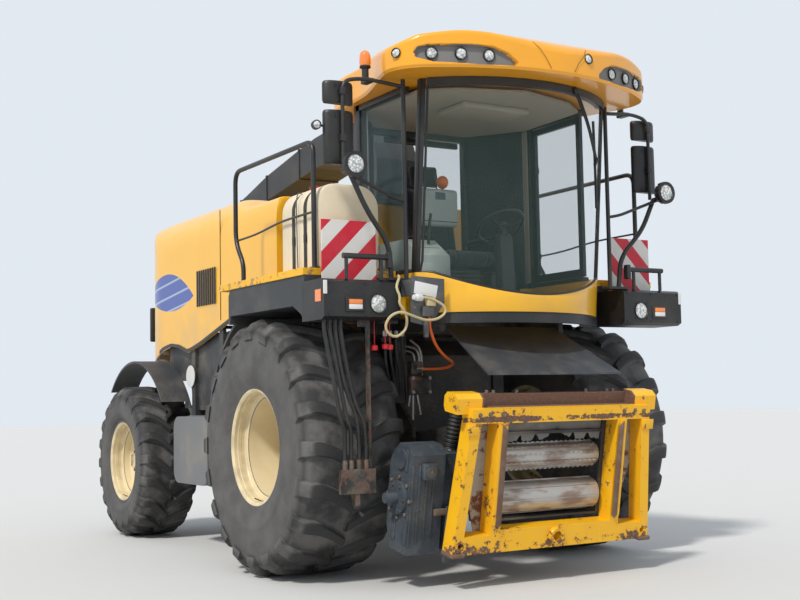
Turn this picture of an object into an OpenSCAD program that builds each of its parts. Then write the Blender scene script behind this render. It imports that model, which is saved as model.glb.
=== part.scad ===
// Self-propelled forage harvester without its header.
// Lengths are millimetres. The machine faces -Y, its left side is +X, and z = 0 is the ground.
// Inside the modules y is counted from the front axle; from_axle() moves it to the middle of the length.

/* [Layout] */
// Distance between the front and the rear axle
wheelbase = 3300; // [3200:10:3400]
// Overall width over the front tyres
front_width = 3240; // [3200:10:3300]
// Overall width over the rear tyres
rear_width = 2960; // [2900:10:3000]
// Foremost point, the tip of the cab roof, ahead of the front axle
front_reach = 1680; // [1660:5:1700]
// Rearmost point, the tip of the spout, behind the front axle
rear_reach = 4560; // [4560:10:4700]

/* [Wheels] */
// Front tyre diameter
front_tyre_d = 1853; // [1800:1:1860]
// Front tyre width
front_tyre_w = 800; // [760:5:800]
// Rear tyre diameter
rear_tyre_d = 1413; // [1380:1:1420]
// Rear tyre width
rear_tyre_w = 550; // [500:5:560]
// Diameter of the front rim at the bead
front_rim_d = 812.8; // [812.8:0.1:813]
// Diameter of the rear rim at the bead
rear_rim_d = 711.2; // [711.2:0.1:712]
// Lugs on each side of a tyre
lug_count = 20; // [16:1:22]
// Height of the lugs
lug_h = 48; // [30:1:55]

/* [Cab] */
// Half of the cab's width
cab_half = 820; // [800:5:830]
// Underside of the cab floor
cab_floor_z = 1840; // [1830:5:1850]
// Underside of the cab roof
roof_z = 3450; // [3400:10:3480]
// Top of the cab roof
roof_top_z = 3745; // [3700:5:3750]

/* [Body] */
// Half of the engine hood's width
hood_half = 1140; // [1100:5:1160]
// Highest point of the engine hood
hood_top_z = 3020; // [2980:5:3030]
// Thickness of the hood's skin
skin = 12; // [8:1:16]
// Top of the side decks
deck_z = 2150; // [2140:5:2160]

/* [Intake] */
// Height of the intake's pivot
intake_pivot_z = 950; // [940:5:960]
// How far the intake hangs below level, in degrees
intake_droop = 10; // [8:0.5:11]
// Half of the distance between the intake's side plates
throat_half = 435; // [430:1:440]

/* [Spout] */
// Width of the spout
spout_w = 400; // [360:10:420]
// Distance of the spout's turret behind the front axle
turret_y = 750; // [740:5:760]

/* [Hidden] */
$fn = 48;

y_mid = (rear_reach - front_reach) / 2;
front_r = front_tyre_d / 2;
rear_r = rear_tyre_d / 2;
front_x = front_width / 2 - front_tyre_w / 2;
rear_x = rear_width / 2 - rear_tyre_w / 2;
run = 0.3;

rail_in = 400;
rail_out = 500;
rail_z0 = 1000;
rail_z1 = 1220;
rail_end = wheelbase + 750;
axle_stub_r = 90;
drive_end_x = front_x - 265;
king_x = rear_x - 355;
king_r = 35;
rear_stub_r = 60;

cab_cone_y = -275;
cab_cone_r0 = 1075;
cab_cone_r1 = 1185;
cab_corner_y = -220;
cab_rear_y = 250;
cab_rear_half = 500;
cab_wall = 60;
screen_half = 735;
screen_low_z = 1960;
sill_z = 2120;
screen_arc_r = (pow(screen_half, 2) + pow(sill_z - screen_low_z, 2)) / 2 / (sill_z - screen_low_z);
door_y0 = -880;
door_y1 = -275;
door_pin = [835, -262];
door_hinges = [2400, 3100];
door_z0 = 2160;
door_z1 = 3400;

fender_z0 = 1900;
fender_z1 = 2100;
fender_front_y = -780;
fender_out = 1550;
box_z0 = 1780;
box_z1 = 2050;

intake_y = -350;
pivot_r = 35;
upper_roll_at = [-985, 72];
lower_roll_at = [-1000, -205];
frame_y0 = -1190;
frame_y1 = -1070;
lock_at = [780, -460];
lock_r = 20;
cover_hinge = [-880, 1750];
lift_foot = [-230, 640];
lift_eye = [-760, -400];

turret_z = 2860;
hood_rear = wheelbase + 600;
hatch_hinge = [hood_rear - 55, 2455];
spout_pivot = [560, 3000];
spout_foot = [1005, 2970];
spout_eye = [1400, 3290];
flap_pivot = [rear_reach - 270, 3030];
lamp_r = 38;

// Moves a piece drawn from the front axle to the middle of the machine's length.
module from_axle() translate([0, -y_mid, 0]) children();

// The same piece on the left and on the right side.
module both_sides() for (s = [0, 1]) mirror([s, 0, 0]) children();

module on_right() mirror([1, 0, 0]) children();

// A side view, drawn as (y, z), made thick from x0 to x1.
module across(x0, x1) translate([x0, 0, 0]) rotate([90, 0, 90]) linear_extrude(x1 - x0) children();

// A front view, drawn as (x, z), made long from y0 to y1.
module along(y0, y1) translate([0, y1, 0]) rotate([90, 0, 0]) linear_extrude(y1 - y0) children();

// A block between two opposite corners.
module block(a, b) translate(a) cube(b - a);

// A rectangle between two opposite corners.
module panel(a, b) translate(a) square(b - a);

// A rectangle with round corners, from circles and squares.
module round_panel(a, b, r) {
    panel([a.x + r, a.y], [b.x - r, b.y]);
    panel([a.x, a.y + r], [b.x, b.y - r]);
    for (x = [a.x + r, b.x - r], y = [a.y + r, b.y - r]) translate([x, y]) circle(r);
}

// A round bar from a to b.
module bar(a, b, r) {
    d = b - a;
    translate(a) rotate([0, acos(d.z / norm(d)), atan2(d.y, d.x)]) cylinder(r = r, h = norm(d));
}

// Unit vector.
function unit(v) = v / norm(v);

// The points of a route with each corner replaced by a bend of 3 short steps, b before and after it.
function rounded(p, b) = [p[0], each [for (i = [1 : 1 : len(p) - 2])
    let (a = p[i] + unit(p[i - 1] - p[i]) * b, c = p[i] + unit(p[i + 1] - p[i]) * b)
    each [for (t = [0 : 1 / 3 : 1]) a * (1 - t) * (1 - t) + p[i] * 2 * t * (1 - t) + c * t * t]], p[len(p) - 1]];

// Rings of a tube: each ring is the one before, slid along its stretch to the next mitre plane.
function rings(p, ring, i) = i == len(p) - 1 ? [ring] :
    let (d = unit(p[i + 1] - p[i]), n = i + 2 < len(p) ? unit(d + unit(p[i + 2] - p[i + 1])) : d)
    [ring, each rings(p, [for (q = ring) q + d * ((p[i + 1] - q) * n) / (d * n)], i + 1)];

// A bent tube of radius r through a list of points, with bends of length b.
module tube_path(points, r, b = 60, sides = 10) {
    p = rounded(points, b);
    d = unit(p[1] - p[0]);
    u = unit(cross(d, abs(d.z) > 0.9 ? [1, 0, 0] : [0, 0, 1]));
    v = cross(d, u);
    through_rings(rings(p, [for (k = [0 : sides - 1])
        p[0] + (u * cos(k * 360 / sides) + v * sin(k * 360 / sides)) * r], 0));
}

// A closed solid through rings of as many points each, with flat ends.
module through_rings(all) {
    n = len(all[0]);
    last = (len(all) - 1) * n;
    polyhedron([for (ring = all) each ring], concat(
        [[for (k = [0 : n - 1]) k]], [[for (k = [n - 1 : -1 : 0]) last + k]],
        [for (i = [0 : len(all) - 2], k = [0 : n - 1]) let (m = (k + 1) % n)
            [i * n + k, (i + 1) * n + k, (i + 1) * n + m, i * n + m]]));
}

// A round bar along X, from x0 to x1, at (y, z).
module shaft(x0, x1, at, r) translate([x0, at[0], at[1]]) rotate([0, 90, 0]) cylinder(r = r, h = x1 - x0);

// Wheels

// Ring of flat facets about Z: the profile's (radius, height) points in order, at count places around.
module faceted_ring(profile, count) {
    n = len(profile);
    polyhedron([for (i = [0 : count - 1], p = profile)
        [p.x * cos(i * 360 / count), p.x * sin(i * 360 / count), p.y]],
        [for (i = [0 : count - 1], k = [0 : n - 1]) let (j = (i + 1) % count, m = (k + 1) % n)
            [i * n + k, j * n + k, j * n + m, i * n + m]]);
}

// Tyre about its axis Z, outer side up, hollow inside, with a ring of lugs on each half of the tread.
module tyre(d, w, rim_d, rim_w, facets) {
    r = d / 2 - lug_h;
    bead = rim_d / 2 + run + 3;
    side = bead + 0.6 * (r - bead);
    seat = rim_w / 2 - run;
    outer = [[bead, seat], [rim_d / 2 + 32, seat], [side, w * 0.5], [r - 25, w * 0.42]];
    inner = [[bead, seat - 35], [r - 50, w * 0.39]];
    faceted_ring(concat(outer, [for (i = [3 : -1 : 0]) [outer[i].x, -outer[i].y]],
        [for (q = inner) [q.x, -q.y]], [inner[1], inner[0]]), facets);
    for (i = [0 : lug_count - 1], s = [0, 1])
        rotate([0, 0, (i + s / 2) * 360 / lug_count]) mirror([0, 0, s]) lug(d, w);
}

// One lug of the upper half of the tread: a bent bar through three sections (height, offset, half width, top, base).
module lug(d, w) {
    lug_w = d * 0.034;
    sections = [[-12, -w * 0.17, lug_w * 0.9, d / 2, lug_h + 20], [w * 0.2, w * 0.02, lug_w * 0.8, d / 2 - 2, lug_h + 25],
        [w * 0.485, w * 0.1, lug_w, d / 2 - 78, 175]];
    through_rings([for (q = sections) let (a = q[1] - q[2], b = q[1] + q[2], side = max(abs(a), abs(b)),
        top = sqrt(q[3] * q[3] - side * side))
        [[top - q[4], a, q[0]], [top, a, q[0]], [top, b, q[0]], [top - q[4], b, q[0]]]]);
}

// Rim about its axis Z, outer side up: flanges, barrel, dish at height dish_z, and a hub with a bore.
module rim(rim_d, rim_w, dish_z, hub_r, hub_top, bore_r) {
    r = rim_d / 2;
    edge = rim_w / 2;
    rotate_extrude() {
        for (s = [1, -1]) {
            panel([r - 12, s > 0 ? edge : -edge - 10], [r + 26, s > 0 ? edge + 10 : -edge]);
            panel([r - 12, s > 0 ? edge - 90 : -edge], [r, s > 0 ? edge : -edge + 90]);
            panel([r - 50, s > 0 ? edge - 102 : -edge + 90], [r, s > 0 ? edge - 90 : -edge + 102]);
        }
        panel([r - 50, -edge + 90], [r - 38, edge - 90]);
        polygon([[hub_r, dish_z - 8], [r - 50, dish_z + 40], [r - 38, dish_z + 40], [r - 38, dish_z + 58],
                 [r - 60, dish_z + 58], [hub_r, dish_z + 12]]);
        panel([bore_r, dish_z - 40], [hub_r, dish_z + 30]);
        panel([0, dish_z + 30], [hub_r - 40, hub_top]);
        panel([0, hub_top], [hub_r * 0.5, hub_top + 18]);
    }
    for (i = [0 : 11]) rotate([0, 0, i * 30]) {
        translate([hub_r - 20, 0, dish_z + 25]) cylinder(r = 13, h = 30);
        if (i % 2 == 0) translate([hub_r * 0.66, 0, hub_top - 5]) cylinder(r = 10, h = 15);
    }
}

// Places a wheel drawn about Z on the left side, outer side to +X.
module on_axle(x, y, r) translate([x, y, r]) rotate([0, 90, 0]) children();

module front_tyre() color("#3a3a38") from_axle()
    on_axle(front_x, 0, front_r) tyre(front_tyre_d, front_tyre_w, front_rim_d, 686, 30);
module front_rim() color("#efe3bd") from_axle()
    on_axle(front_x, 0, front_r) rim(front_rim_d, 686, -220, 230, -30, axle_stub_r + run);
module rear_tyre() color("#3a3a38") from_axle()
    on_axle(rear_x, wheelbase, rear_r) tyre(rear_tyre_d, rear_tyre_w, rear_rim_d, 457, 26);
module rear_rim() color("#efe3bd") from_axle()
    on_axle(rear_x, wheelbase, rear_r) rim(rear_rim_d, 457, 20, 140, 120, rear_stub_r + run);

module front_tyre_left() front_tyre();
module front_rim_left() front_rim();
module rear_tyre_left() rear_tyre();
module rear_rim_left() rear_rim();
module front_tyre_right() on_right() front_tyre();
module front_rim_right() on_right() front_rim();
module rear_tyre_right() on_right() rear_tyre();
module rear_rim_right() on_right() rear_rim();

// Chassis and axles

module chassis_frame() color("#2f3133") from_axle() {
    both_sides() {
        block([rail_in, -200, rail_z0], [rail_out, rail_end, rail_z1]);
        across(470, rail_out) polygon([[-430, 860], [-190, 860], [-190, rail_z1], [-260, rail_z1], [-430, 1040]]);
        shaft(430, rail_out, [intake_y, intake_pivot_z], pivot_r);
    }
    for (y = [600, 2000, wheelbase - 50, rail_end - 100]) block([-rail_in, y, rail_z0], [rail_in, y + 100, rail_z1]);
}

// Closed duct over the cutterhead, and the tower that carries the spout.
module crop_duct() color("#2f3133") from_axle() {
    across(-rail_in, rail_in) polygon([[-180, rail_z0], [520, rail_z0], [520, 1500], [320, 1700], [-60, 1700],
        [-180, 1580]]);
    difference() {
        block([-220, 515, 1240], [220, 950, turret_z - 20]);
        block([-190, 580, 1700], [190, 920, turret_z]);
    }
    block([-220, 600, rail_z1], [220, 700, 1240]);
}

module cab_mounts() color("#2f3133") from_axle() {
    for (y = [-250, 150]) block([-760, y, 1740], [760, y + 100, cab_floor_z]);
    both_sides() {
        for (y = [-200, 170]) block([rail_in, y, rail_z1], [rail_out, y + 60, 1740]);
        difference() {
            across(505, 545) polygon([[-910, 1720], [-840, 1720], [-800, 1740], [-240, 1740],
                [-240, cab_floor_z], [-910, cab_floor_z]]);
            shaft(500, 550, cover_hinge, 12 + run);
        }
    }
}

module hood_posts() color("#2f3133") from_axle() both_sides() {
    for (y = [1600, 2240]) {
        block([rail_out, y, 1136], [hood_half - skin, y + 80, 1180]);
        block([hood_half - skin - 30, y, 1180], [hood_half - skin, y + 80, 2000]);
    }
    shaft(hood_half - skin - 2, hood_half - skin + 6, [2320, 1485], 100);
}

module engine_block() color("#55585a") from_axle()
    block([-rail_in, 2150, rail_z0], [rail_in, 3200, 1950]);

module front_axle() color("#26282a") from_axle() {
    block([-520, -130, 796], [520, 130, rail_z0]);
    both_sides() for (x = [320, 385]) difference() {
        across(x, x + 15) polygon([[-275, 600], [-190, 600], [-120, 800], [-120, 900], [-200, 900], [-275, 700]]);
        shaft(x - 5, x + 20, lift_foot, 15 + run);
    }
    both_sides() {
        shaft(520, drive_end_x, [0, front_r], 220);
        shaft(drive_end_x, front_x - 195, [0, front_r], axle_stub_r);
    }
}

module rear_axle() color("#26282a") from_axle() {
    block([-60, wheelbase - 50, rear_r + 90], [60, wheelbase + 50, rail_z0]);
    block([-700, wheelbase - 90, rear_r - 80], [700, wheelbase + 90, rear_r + 90]);
    both_sides() difference() {
        union() for (z = [rear_r + 70, rear_r - 120]) {
            block([690, wheelbase - 70, z], [king_x, wheelbase + 70, z + 50]);
            translate([king_x, wheelbase, z]) cylinder(r = 70, h = 50);
        }
        translate([king_x, wheelbase, rear_r - 200]) cylinder(r = king_r, h = 400);
    }
}

module knuckle() color("#26282a") from_axle() translate([king_x, wheelbase, rear_r]) {
    translate([0, 0, -120]) cylinder(r = king_r - run, h = 240);
    translate([0, 0, -65]) cylinder(r = 70, h = 130);
    shaft(0, 150, [0, 0], 62);
    shaft(150, rear_x + 45 - king_x, [0, 0], rear_stub_r);
}
module knuckle_left() knuckle();
module knuckle_right() on_right() knuckle();

// Cab

// Solid outer shape of the cab, drawn in by inset on every wall.
module cab_solid(inset, z0, z1) {
    slope = (cab_corner_y - cab_rear_y) / (cab_half - cab_rear_half);
    cut = inset * (norm([1, slope]) - 1) / abs(slope);
    h = roof_z - cab_floor_z;
    intersection() {
        translate([0, 0, z0]) linear_extrude(z1 - z0) polygon([
            [-cab_half + inset, -2000], [cab_half - inset, -2000], [cab_half - inset, cab_corner_y - cut],
            [cab_rear_half - inset / 2, cab_rear_y - inset], [-cab_rear_half + inset / 2, cab_rear_y - inset],
            [-cab_half + inset, cab_corner_y - cut]]);
        translate([0, cab_cone_y, cab_floor_z])
            cylinder(r1 = cab_cone_r0 - inset, r2 = cab_cone_r1 - inset, h = h, $fn = 180);
    }
}

// Everything above the curved lower edge of the windscreen.
module above_sill() {
    translate([0, 0, screen_low_z + screen_arc_r]) rotate([90, 0, 0])
        cylinder(r = screen_arc_r, h = 4000, center = true, $fn = 180);
}

module cab_base() color("#f2b32a") from_axle() difference() {
    cab_solid(0, cab_floor_z, sill_z);
    cab_solid(cab_wall, cab_floor_z + cab_wall, sill_z + 1);
    intersection() {
        above_sill();
        block([-screen_half, -2000, cab_floor_z], [screen_half, -800, roof_z]);
    }
}

// Windows of the frame, as blocks that reach through the walls.
module window_cuts() {
    block([-screen_half, -2000, cab_floor_z], [screen_half, -900, roof_z - 40]);
    for (s = [0, 1]) mirror([s, 0, 0])
        block([cab_half - 200, door_y0 - 8, door_z0 - 5], [cab_half + 50, door_y1 + 6, door_z1 + 5]);
    block([-430, cab_rear_y - 200, sill_z + 60], [430, cab_rear_y + 50, door_z1]);
}

module cab_frame() color("#1d1e20") from_axle() {
    difference() {
        cab_solid(0, sill_z, roof_z);
        cab_solid(cab_wall, sill_z - 1, roof_z + 1);
        window_cuts();
    }
    for (z = door_hinges) difference() {
        union() {
            translate([door_pin.x, door_pin.y, z]) cylinder(r = 12, h = 40);
            block([cab_half - 5, door_pin.y - 6, z], [door_pin.x, door_pin.y + 6, z + 40]);
        }
        translate([door_pin.x, door_pin.y, z - 1]) cylinder(r = 6 + run, h = 42);
    }
    block([280, -1465, 3414], [320, -1405, 3440]);
    bar([300, -1452, 3430], [600, -1290, 2950], 8);
    bar([600, -1300, 2950], [600, -1258, 2950], 10);
    bar([560, -1306, 3250], [640, -1210, 2650], 6);
}

module windscreen() color("#7fb0bf", 0.35) from_axle() intersection() {
    difference() {
        cab_solid(12, cab_floor_z, roof_z - 40);
        cab_solid(18, cab_floor_z - 1, roof_z);
    }
    above_sill();
    block([-screen_half, -2000, cab_floor_z], [screen_half, -900, roof_z - 40]);
}

module cab_glass() color("#7fb0bf", 0.35) from_axle() {
    on_right() block([cab_half - 18, door_y0 - 8, door_z0 - 5], [cab_half - 12, door_y1 + 6, door_z1 + 5]);
    block([-430, cab_rear_y - 30, sill_z + 60], [430, cab_rear_y - 24, door_z1]);
}

module cab_door() color("#1d1e20") from_axle() {
    difference() {
        block([785, door_y0, door_z0], [815, door_y1, door_z1]);
        block([780, door_y0 + 45, door_z0 + 60], [820, door_y1 - 45, door_z1 - 45]);
    }
    for (z = door_hinges) {
        translate([door_pin.x, door_pin.y, z - 45]) cylinder(r = 12, h = 42);
        translate([door_pin.x, door_pin.y, z - 10]) cylinder(r = 6, h = 46);
        block([812, -300, z - 45], [838, -285, z - 3]);
        block([823, -300, z - 45], [838, door_pin.y, z - 3]);
    }
}

module cab_door_glass() color("#7fb0bf", 0.35) from_axle()
    block([797, door_y0 + 45, door_z0 + 60], [803, door_y1 - 45, door_z1 - 45]);

// Roof outline seen from above, from the tip of the visor to the rear.
module roof_plan() polygon(mirrored(rounded([[0, -front_reach], [260, -1660], [500, -1600], [740, -1515],
    [960, -1400], [1060, -1310], [1100, -1200], [1100, -1090], [1000, -800], [900, -480], [880, 0], [760, 230],
    [600, 330]], 35)));

// Crown across the roof: highest in the middle, with soft shoulders.
module roof_crown() polygon(concat([[1130, roof_z], [-1130, roof_z]], [for (x = [-1130 : 113 : 1130])
    [x, roof_top_z - 70 * pow(x / 1000, 2) - (abs(x) > 1020 ? 60 : 0)]]));

// Recess of the three work lamps in the visor, seen from the front.
module lamp_recess() polygon(rounded([[350, 3470], [350, 3500], [520, 3606], [930, 3606], [1010, 3580], [1010, 3520],
    [900, 3480], [600, 3466], [350, 3470]], 25));

// Work lamps in the recess: distance from the middle, height, and y of the lens.
recess_lamps = [[536, 3540, -1570], [721, 3545, -1505], [898, 3548, -1418]];

// Single lamp on the left and corner lamp of both sides, each along its own normal: x, y, z and turn from -Y.
single_lamp = [240, -1655, 3600, 6];
corner_lamp = [1078, -1262, 3560, 70];

// A lamp of radius r on the roof's edge, from 30 mm behind its place.
module edge_lamp(q, r, length) translate([q[0], q[1], q[2]]) rotate([90, 0, q[3]]) translate([0, 0, -30])
    cylinder(r = r, h = length);

module cab_roof() color("#f2a81d") from_axle() difference() {
    intersection() {
        translate([0, 0, roof_z]) linear_extrude(roof_top_z - roof_z) roof_plan();
        along(-1700, 400) roof_crown();
        across(-1120, 1120) polygon([[-1700, roof_z], [400, roof_z], [400, roof_top_z - 60], [200, roof_top_z],
            [-1150, roof_top_z], [-1400, roof_top_z - 12], [-1560, roof_top_z - 40], [-1640, roof_top_z - 75],
            [-front_reach, roof_top_z - 130], [-1700, roof_z + 60]]);
    }
    both_sides() intersection() {
        along(-1700, -1200) lamp_recess();
        translate([0, 0, roof_z]) linear_extrude(300) difference() {
            translate([0, -60]) roof_plan();
            translate([0, 34]) roof_plan();
        }
    }
    both_sides() {
        for (q = recess_lamps) translate([q[0], q[2] + 40, q[1]]) rotate([90, 0, 0]) cylinder(r = lamp_r + run, h = 200);
        edge_lamp(corner_lamp, lamp_r + run, 100);
    }
    edge_lamp(single_lamp, lamp_r + run, 100);
}

module roof_lamps() color("#c9cdd0") from_axle() {
    both_sides() {
        for (q = recess_lamps) translate([q[0], q[2] + 40, q[1]]) rotate([90, 0, 0]) cylinder(r = lamp_r, h = 40);
        edge_lamp(corner_lamp, lamp_r, 26);
    }
    edge_lamp(single_lamp, lamp_r, 26);
    translate([-1148, -950, 3524]) rotate_extrude() {
        panel([0, 0], [42, 85]);
        intersection() {
            translate([0, 85]) circle(42);
            panel([0, 80], [50, 130]);
        }
    }
}

module driver_seat() color("#2c3036") from_axle() {
    across(-150, 150) polygon([[-440, 1900], [-130, 1900], [-170, 2230], [-400, 2230]]);
    along(-560, -60) polygon([[-250, 2230], [250, 2230], [250, 2390], [190, 2390], [150, 2345], [-150, 2345],
        [-190, 2390], [-250, 2390]]);
    across(-235, 235) polygon([[-90, 2240], [30, 2240], [110, 2900], [70, 2965], [10, 2960], [-30, 2800],
        [-80, 2500]]);
    across(-135, 135) polygon([[30, 2940], [90, 2940], [110, 3140], [70, 3160], [30, 3140]]);
}

module cab_controls() color("#4a4d50") from_axle() {
    across(-620, -350) polygon([[-760, 1900], [-80, 1900], [-80, 2360], [-200, 2420], [-560, 2420],
        [-760, 2280]]);
    bar([-450, -620, 2380], [-450, -660, 2640], 12);
    translate([-450, -665, 2640]) rotate([15, 0, 0]) along(-12, 18) round_panel([-120, -70], [120, 90], 15);
    bar([-400, -420, 2400], [-400, -440, 2540], 9);
    translate([-400, -440, 2550]) sphere(34);
    across(-60, 60) polygon([[-1010, 1900], [-900, 1900], [-880, 2400], [-920, 2450], [-975, 2430]]);
    translate([0, -900, 2500]) rotate([-35, 0, 0]) {
        rotate_extrude() translate([175, 0]) circle(14);
        cylinder(r = 45, h = 30, center = true);
        translate([0, 0, -95]) cylinder(r = 25, h = 100);
        for (a = [90, 210, 330]) rotate([0, 0, a]) bar([20, 0, 0], [172, 0, 0], 9);
    }
}

// Fenders, decks and lights

module front_fender() {
    arch_r0 = front_r + 103.5;
    arch_r1 = arch_r0 + 22;
    arch_z = front_r + sqrt(pow(arch_r0, 2) - pow(475, 2)) - 4;
    difference() {
        across(cab_half, fender_out) polygon([[fender_front_y, box_z0], [fender_front_y + 60, fender_z0 - 60],
            [fender_front_y + 180, fender_z0], [465, fender_z0], [475, arch_z], [500, arch_z], [500, 2050],
            [470, fender_z1], [fender_front_y, fender_z1]]);
        block([cab_half - 1, cab_corner_y, 1800], [cab_half + 1, 600, 2200]);
    }
    across(cab_half + 30, 1500) intersection() {
        difference() {
            translate([0, front_r]) circle(arch_r1, $fn = 96);
            translate([0, front_r]) circle(arch_r0, $fn = 96);
        }
        panel([470, front_r], [1100, 1900]);
    }
}
module front_fenders() color("#333537") from_axle() both_sides() front_fender();

module decks() color("#f2b32a") from_axle() {
    both_sides() {
        block([cab_half + 10, fender_front_y, fender_z1], [1560, 470, deck_z]);
        block([hood_half + 20, 470, fender_z1], [1560, 660, deck_z]);
    }
    block([hood_half + 20, 660, fender_z1], [1560, 1500, deck_z]);
}

module light_boxes() color("#1b1c1e") from_axle() both_sides() difference() {
    across(990, 1570) polygon([[-1100, box_z0 + 20], [-1060, box_z0], [fender_front_y, box_z0],
        [fender_front_y, box_z1], [-1060, box_z1], [-1100, box_z1 - 20]]);
    translate([1160, -1060, 1890]) rotate([90, 0, 0]) cylinder(r = 68, h = 60);
    block([1285, -1101, 1840], [1395, -1080, 1920]);
}

module front_lamps() color("#e8ecee") from_axle() both_sides() {
    translate([1160, -1060, 1890]) rotate([90, 0, 0]) cylinder(r = 68 - run, h = 44);
    block([1285, -1106, 1840], [1395, -1080, 1920]);
}

module warning_panels() color("#e6dcd8") from_axle() both_sides()
    block([1040, -870, box_z1], [1463, -862, box_z1 + 423]);

module additive_tank() color("#e8ddc0") from_axle() on_right() {
    intersection() {
        along(-750, -170) {
            panel([935, deck_z], [1425, deck_z + 300]);
            round_panel([935, deck_z + 100], [1425, deck_z + 600], 150);
        }
        translate([0, 0, deck_z]) linear_extrude(700) round_panel([935, -750], [1425, -170], 60);
    }
    for (x = [1130, 1230]) translate([x, -330, deck_z + 595]) cylinder(r = 40, h = 50);
}

module handrails() color("#1d1e20") from_axle() both_sides() {
    tube_path([[1450, -740, deck_z], [1450, -740, 3030], [1450, 580, 3030], [1450, 580, 2480],
        [1450, 440, 2300], [1450, 440, deck_z]], 18);
    tube_path([[1450, -740, 2520], [1450, 580, 2520]], 8, sides = 6);
}

module mirror_stays() color("#1d1e20") from_axle() both_sides() {
    block([870, -1080, box_z1], [1060, -980, box_z1 + 20]);
    tube_path([[905, -1045, box_z1 + 10], [905, -1045, roof_z]], 16);
    tube_path([[1010, -1020, box_z1 + 10], [1030, -1030, 2300], [1225, -1070, 2520], [1345, -1070, 2755]], 18);
    tube_path([[905, -1045, 2600], [1010, -1060, 2620], [1370, -1090, 2755]], 12);
    block([1340, -1112, 2745], [1400, -1060, 2775]);
    tube_path([[905, -1045, 3400], [1200, -1020, 3430], [1365, -1014, 3400], [1365, -1014, 2770]], 14);
    for (z = [2980, 3300]) block([1345, -1025, z], [1385, -996, z + 50]);
    translate([1148, -950, 3425]) cylinder(r = 30, h = 99);
    block([1120, -1030, 3410], [1176, -930, 3440]);
}

module mirrors() color("#17181a") from_axle() both_sides() {
    for (z = [[2830, 3200], [3245, 3400]])
        translate([0, 0, z[0]]) linear_extrude(z[1] - z[0]) round_panel([1250, -996], [1480, -936], 25);
}

module work_lights() color("#17181a") from_axle() both_sides()
    translate([1370, -1112, 2800]) rotate([90, 0, 0]) rotate_extrude() polygon([[0, 0], [45, 0], [72, 22], [85, 60],
        [85, 90], [76, 90], [72, 80], [0, 76]]);

// Hood and rear

// Points of an arc about c, from angle a to angle b in n steps.
function arc(c, r, a, b, n) = [for (i = [0 : n]) c + r * [cos(a + (b - a) * i / n), sin(a + (b - a) * i / n)]];

// The same outline on both sides: the points of the right half, then their mirror images back.
function mirrored(half) = concat(half, [for (i = [len(half) - 1 : -1 : 0]) [-half[i].x, half[i].y]]);

module hood_plan(inset) polygon(mirrored(concat([[hood_half - inset, 500 + inset]],
    arc([hood_half - 800, hood_rear - 800], 800 - inset, 0, 90, 10))));

module hood_section(inset) polygon(mirrored(concat([[hood_half - inset, 1000]],
    arc([hood_half - 320, hood_top_z - 320], 320 - inset, 0, 90, 8))));

// Side view of the hood, with y counted from its rear end where the tail bends down.
module hood_side(inset) {
    tail = [[100, -700], [-40 - inset, -460 - inset / 2], [-110 - inset, -335 - inset], [-200 - inset, -230 - inset],
        [-340, -125 - inset], [-500, -60 - inset], [-680, -18 - inset], [-900, -inset]];
    polygon(concat([[400, 1000], [hood_rear + 100, 1000]], [for (q = tail) [hood_rear, hood_top_z] + q],
        [[1700, hood_top_z - inset], [1450, hood_top_z - 35 - inset], [1200, turret_z - inset],
        [400, turret_z - inset]]));
}

module hood_solid(inset) intersection() {
    translate([0, 0, 1000]) linear_extrude(2200) hood_plan(inset);
    along(400, hood_rear + 100) hood_section(inset);
    across(-1200, 1200) hood_side(inset);
}

module hood_shell() difference() {
    hood_solid(0);
    hood_solid(skin);
    across(-1200, 1200) polygon([[300, 900], [300, 1930], [1400, 1930], [2070, 1760], [2380, 1700], [2600, 1755],
        [2810, 1775], [3000, 1750], [3240, 1680], [3600, 1600], [hood_rear + 200, 1600], [hood_rear + 200, 900]]);
    block([-610, hood_rear - 200, 1690], [610, hood_rear + 100, 2460]);
    translate([0, turret_y, turret_z - 50]) cylinder(r = 240, h = 100);
}

module hood() color("#f2b32a") from_axle() {
    hood_shell();
    both_sides() difference() {
        across(530, 545) polygon([for (q = [[-13, -13], [13, -13], [21, 25], [21, 65], [-13, 25]]) hatch_hinge + q]);
        shaft(525, 550, hatch_hinge, 8 + run);
    }
}

module side_panels() color("#2a2c2e") from_axle() both_sides() difference() {
    across(hood_half - skin - 50, hood_half - skin - 30) polygon([[1180, 1180], [wheelbase - 920, 1180],
        [wheelbase - 880, 1450], [2950, 1450], [2950, 1850], [1180, 1850]]);
    for (i = [0 : 6]) block([hood_half - skin - 60, 1250, 1230 + i * 70], [hood_half - skin, 1560, 1265 + i * 70]);
}

module rear_door() color("#2a2c2e") from_axle() {
    shaft(-560, 560, hatch_hinge, 8);
    for (x = [-480, 440]) across(x, x + 40) translate(hatch_hinge) panel([-20, -15], [5, 7]);
    translate([0, hood_rear, 0]) difference() {
        block([-600, -100, 1700], [600, -60, 2450]);
        for (i = [0 : 8]) block([-540, -110, 1750 + i * 74], [540, -50, 1790 + i * 74]);
        both_sides() block([522, -110, 2395], [553, -50, 2451]);
    }
}

module fuel_tanks() color("#8d9092") from_axle() both_sides() {
    across(700, 1300) round_panel([1550, 550], [2330, 1130], 110);
    for (x = [800, 1150]) across(x, x + 45) round_panel([1544, 544], [2336, 1136], 116);
    translate([1180, 1750, 1125]) cylinder(r = 45, h = 45);
}

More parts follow.
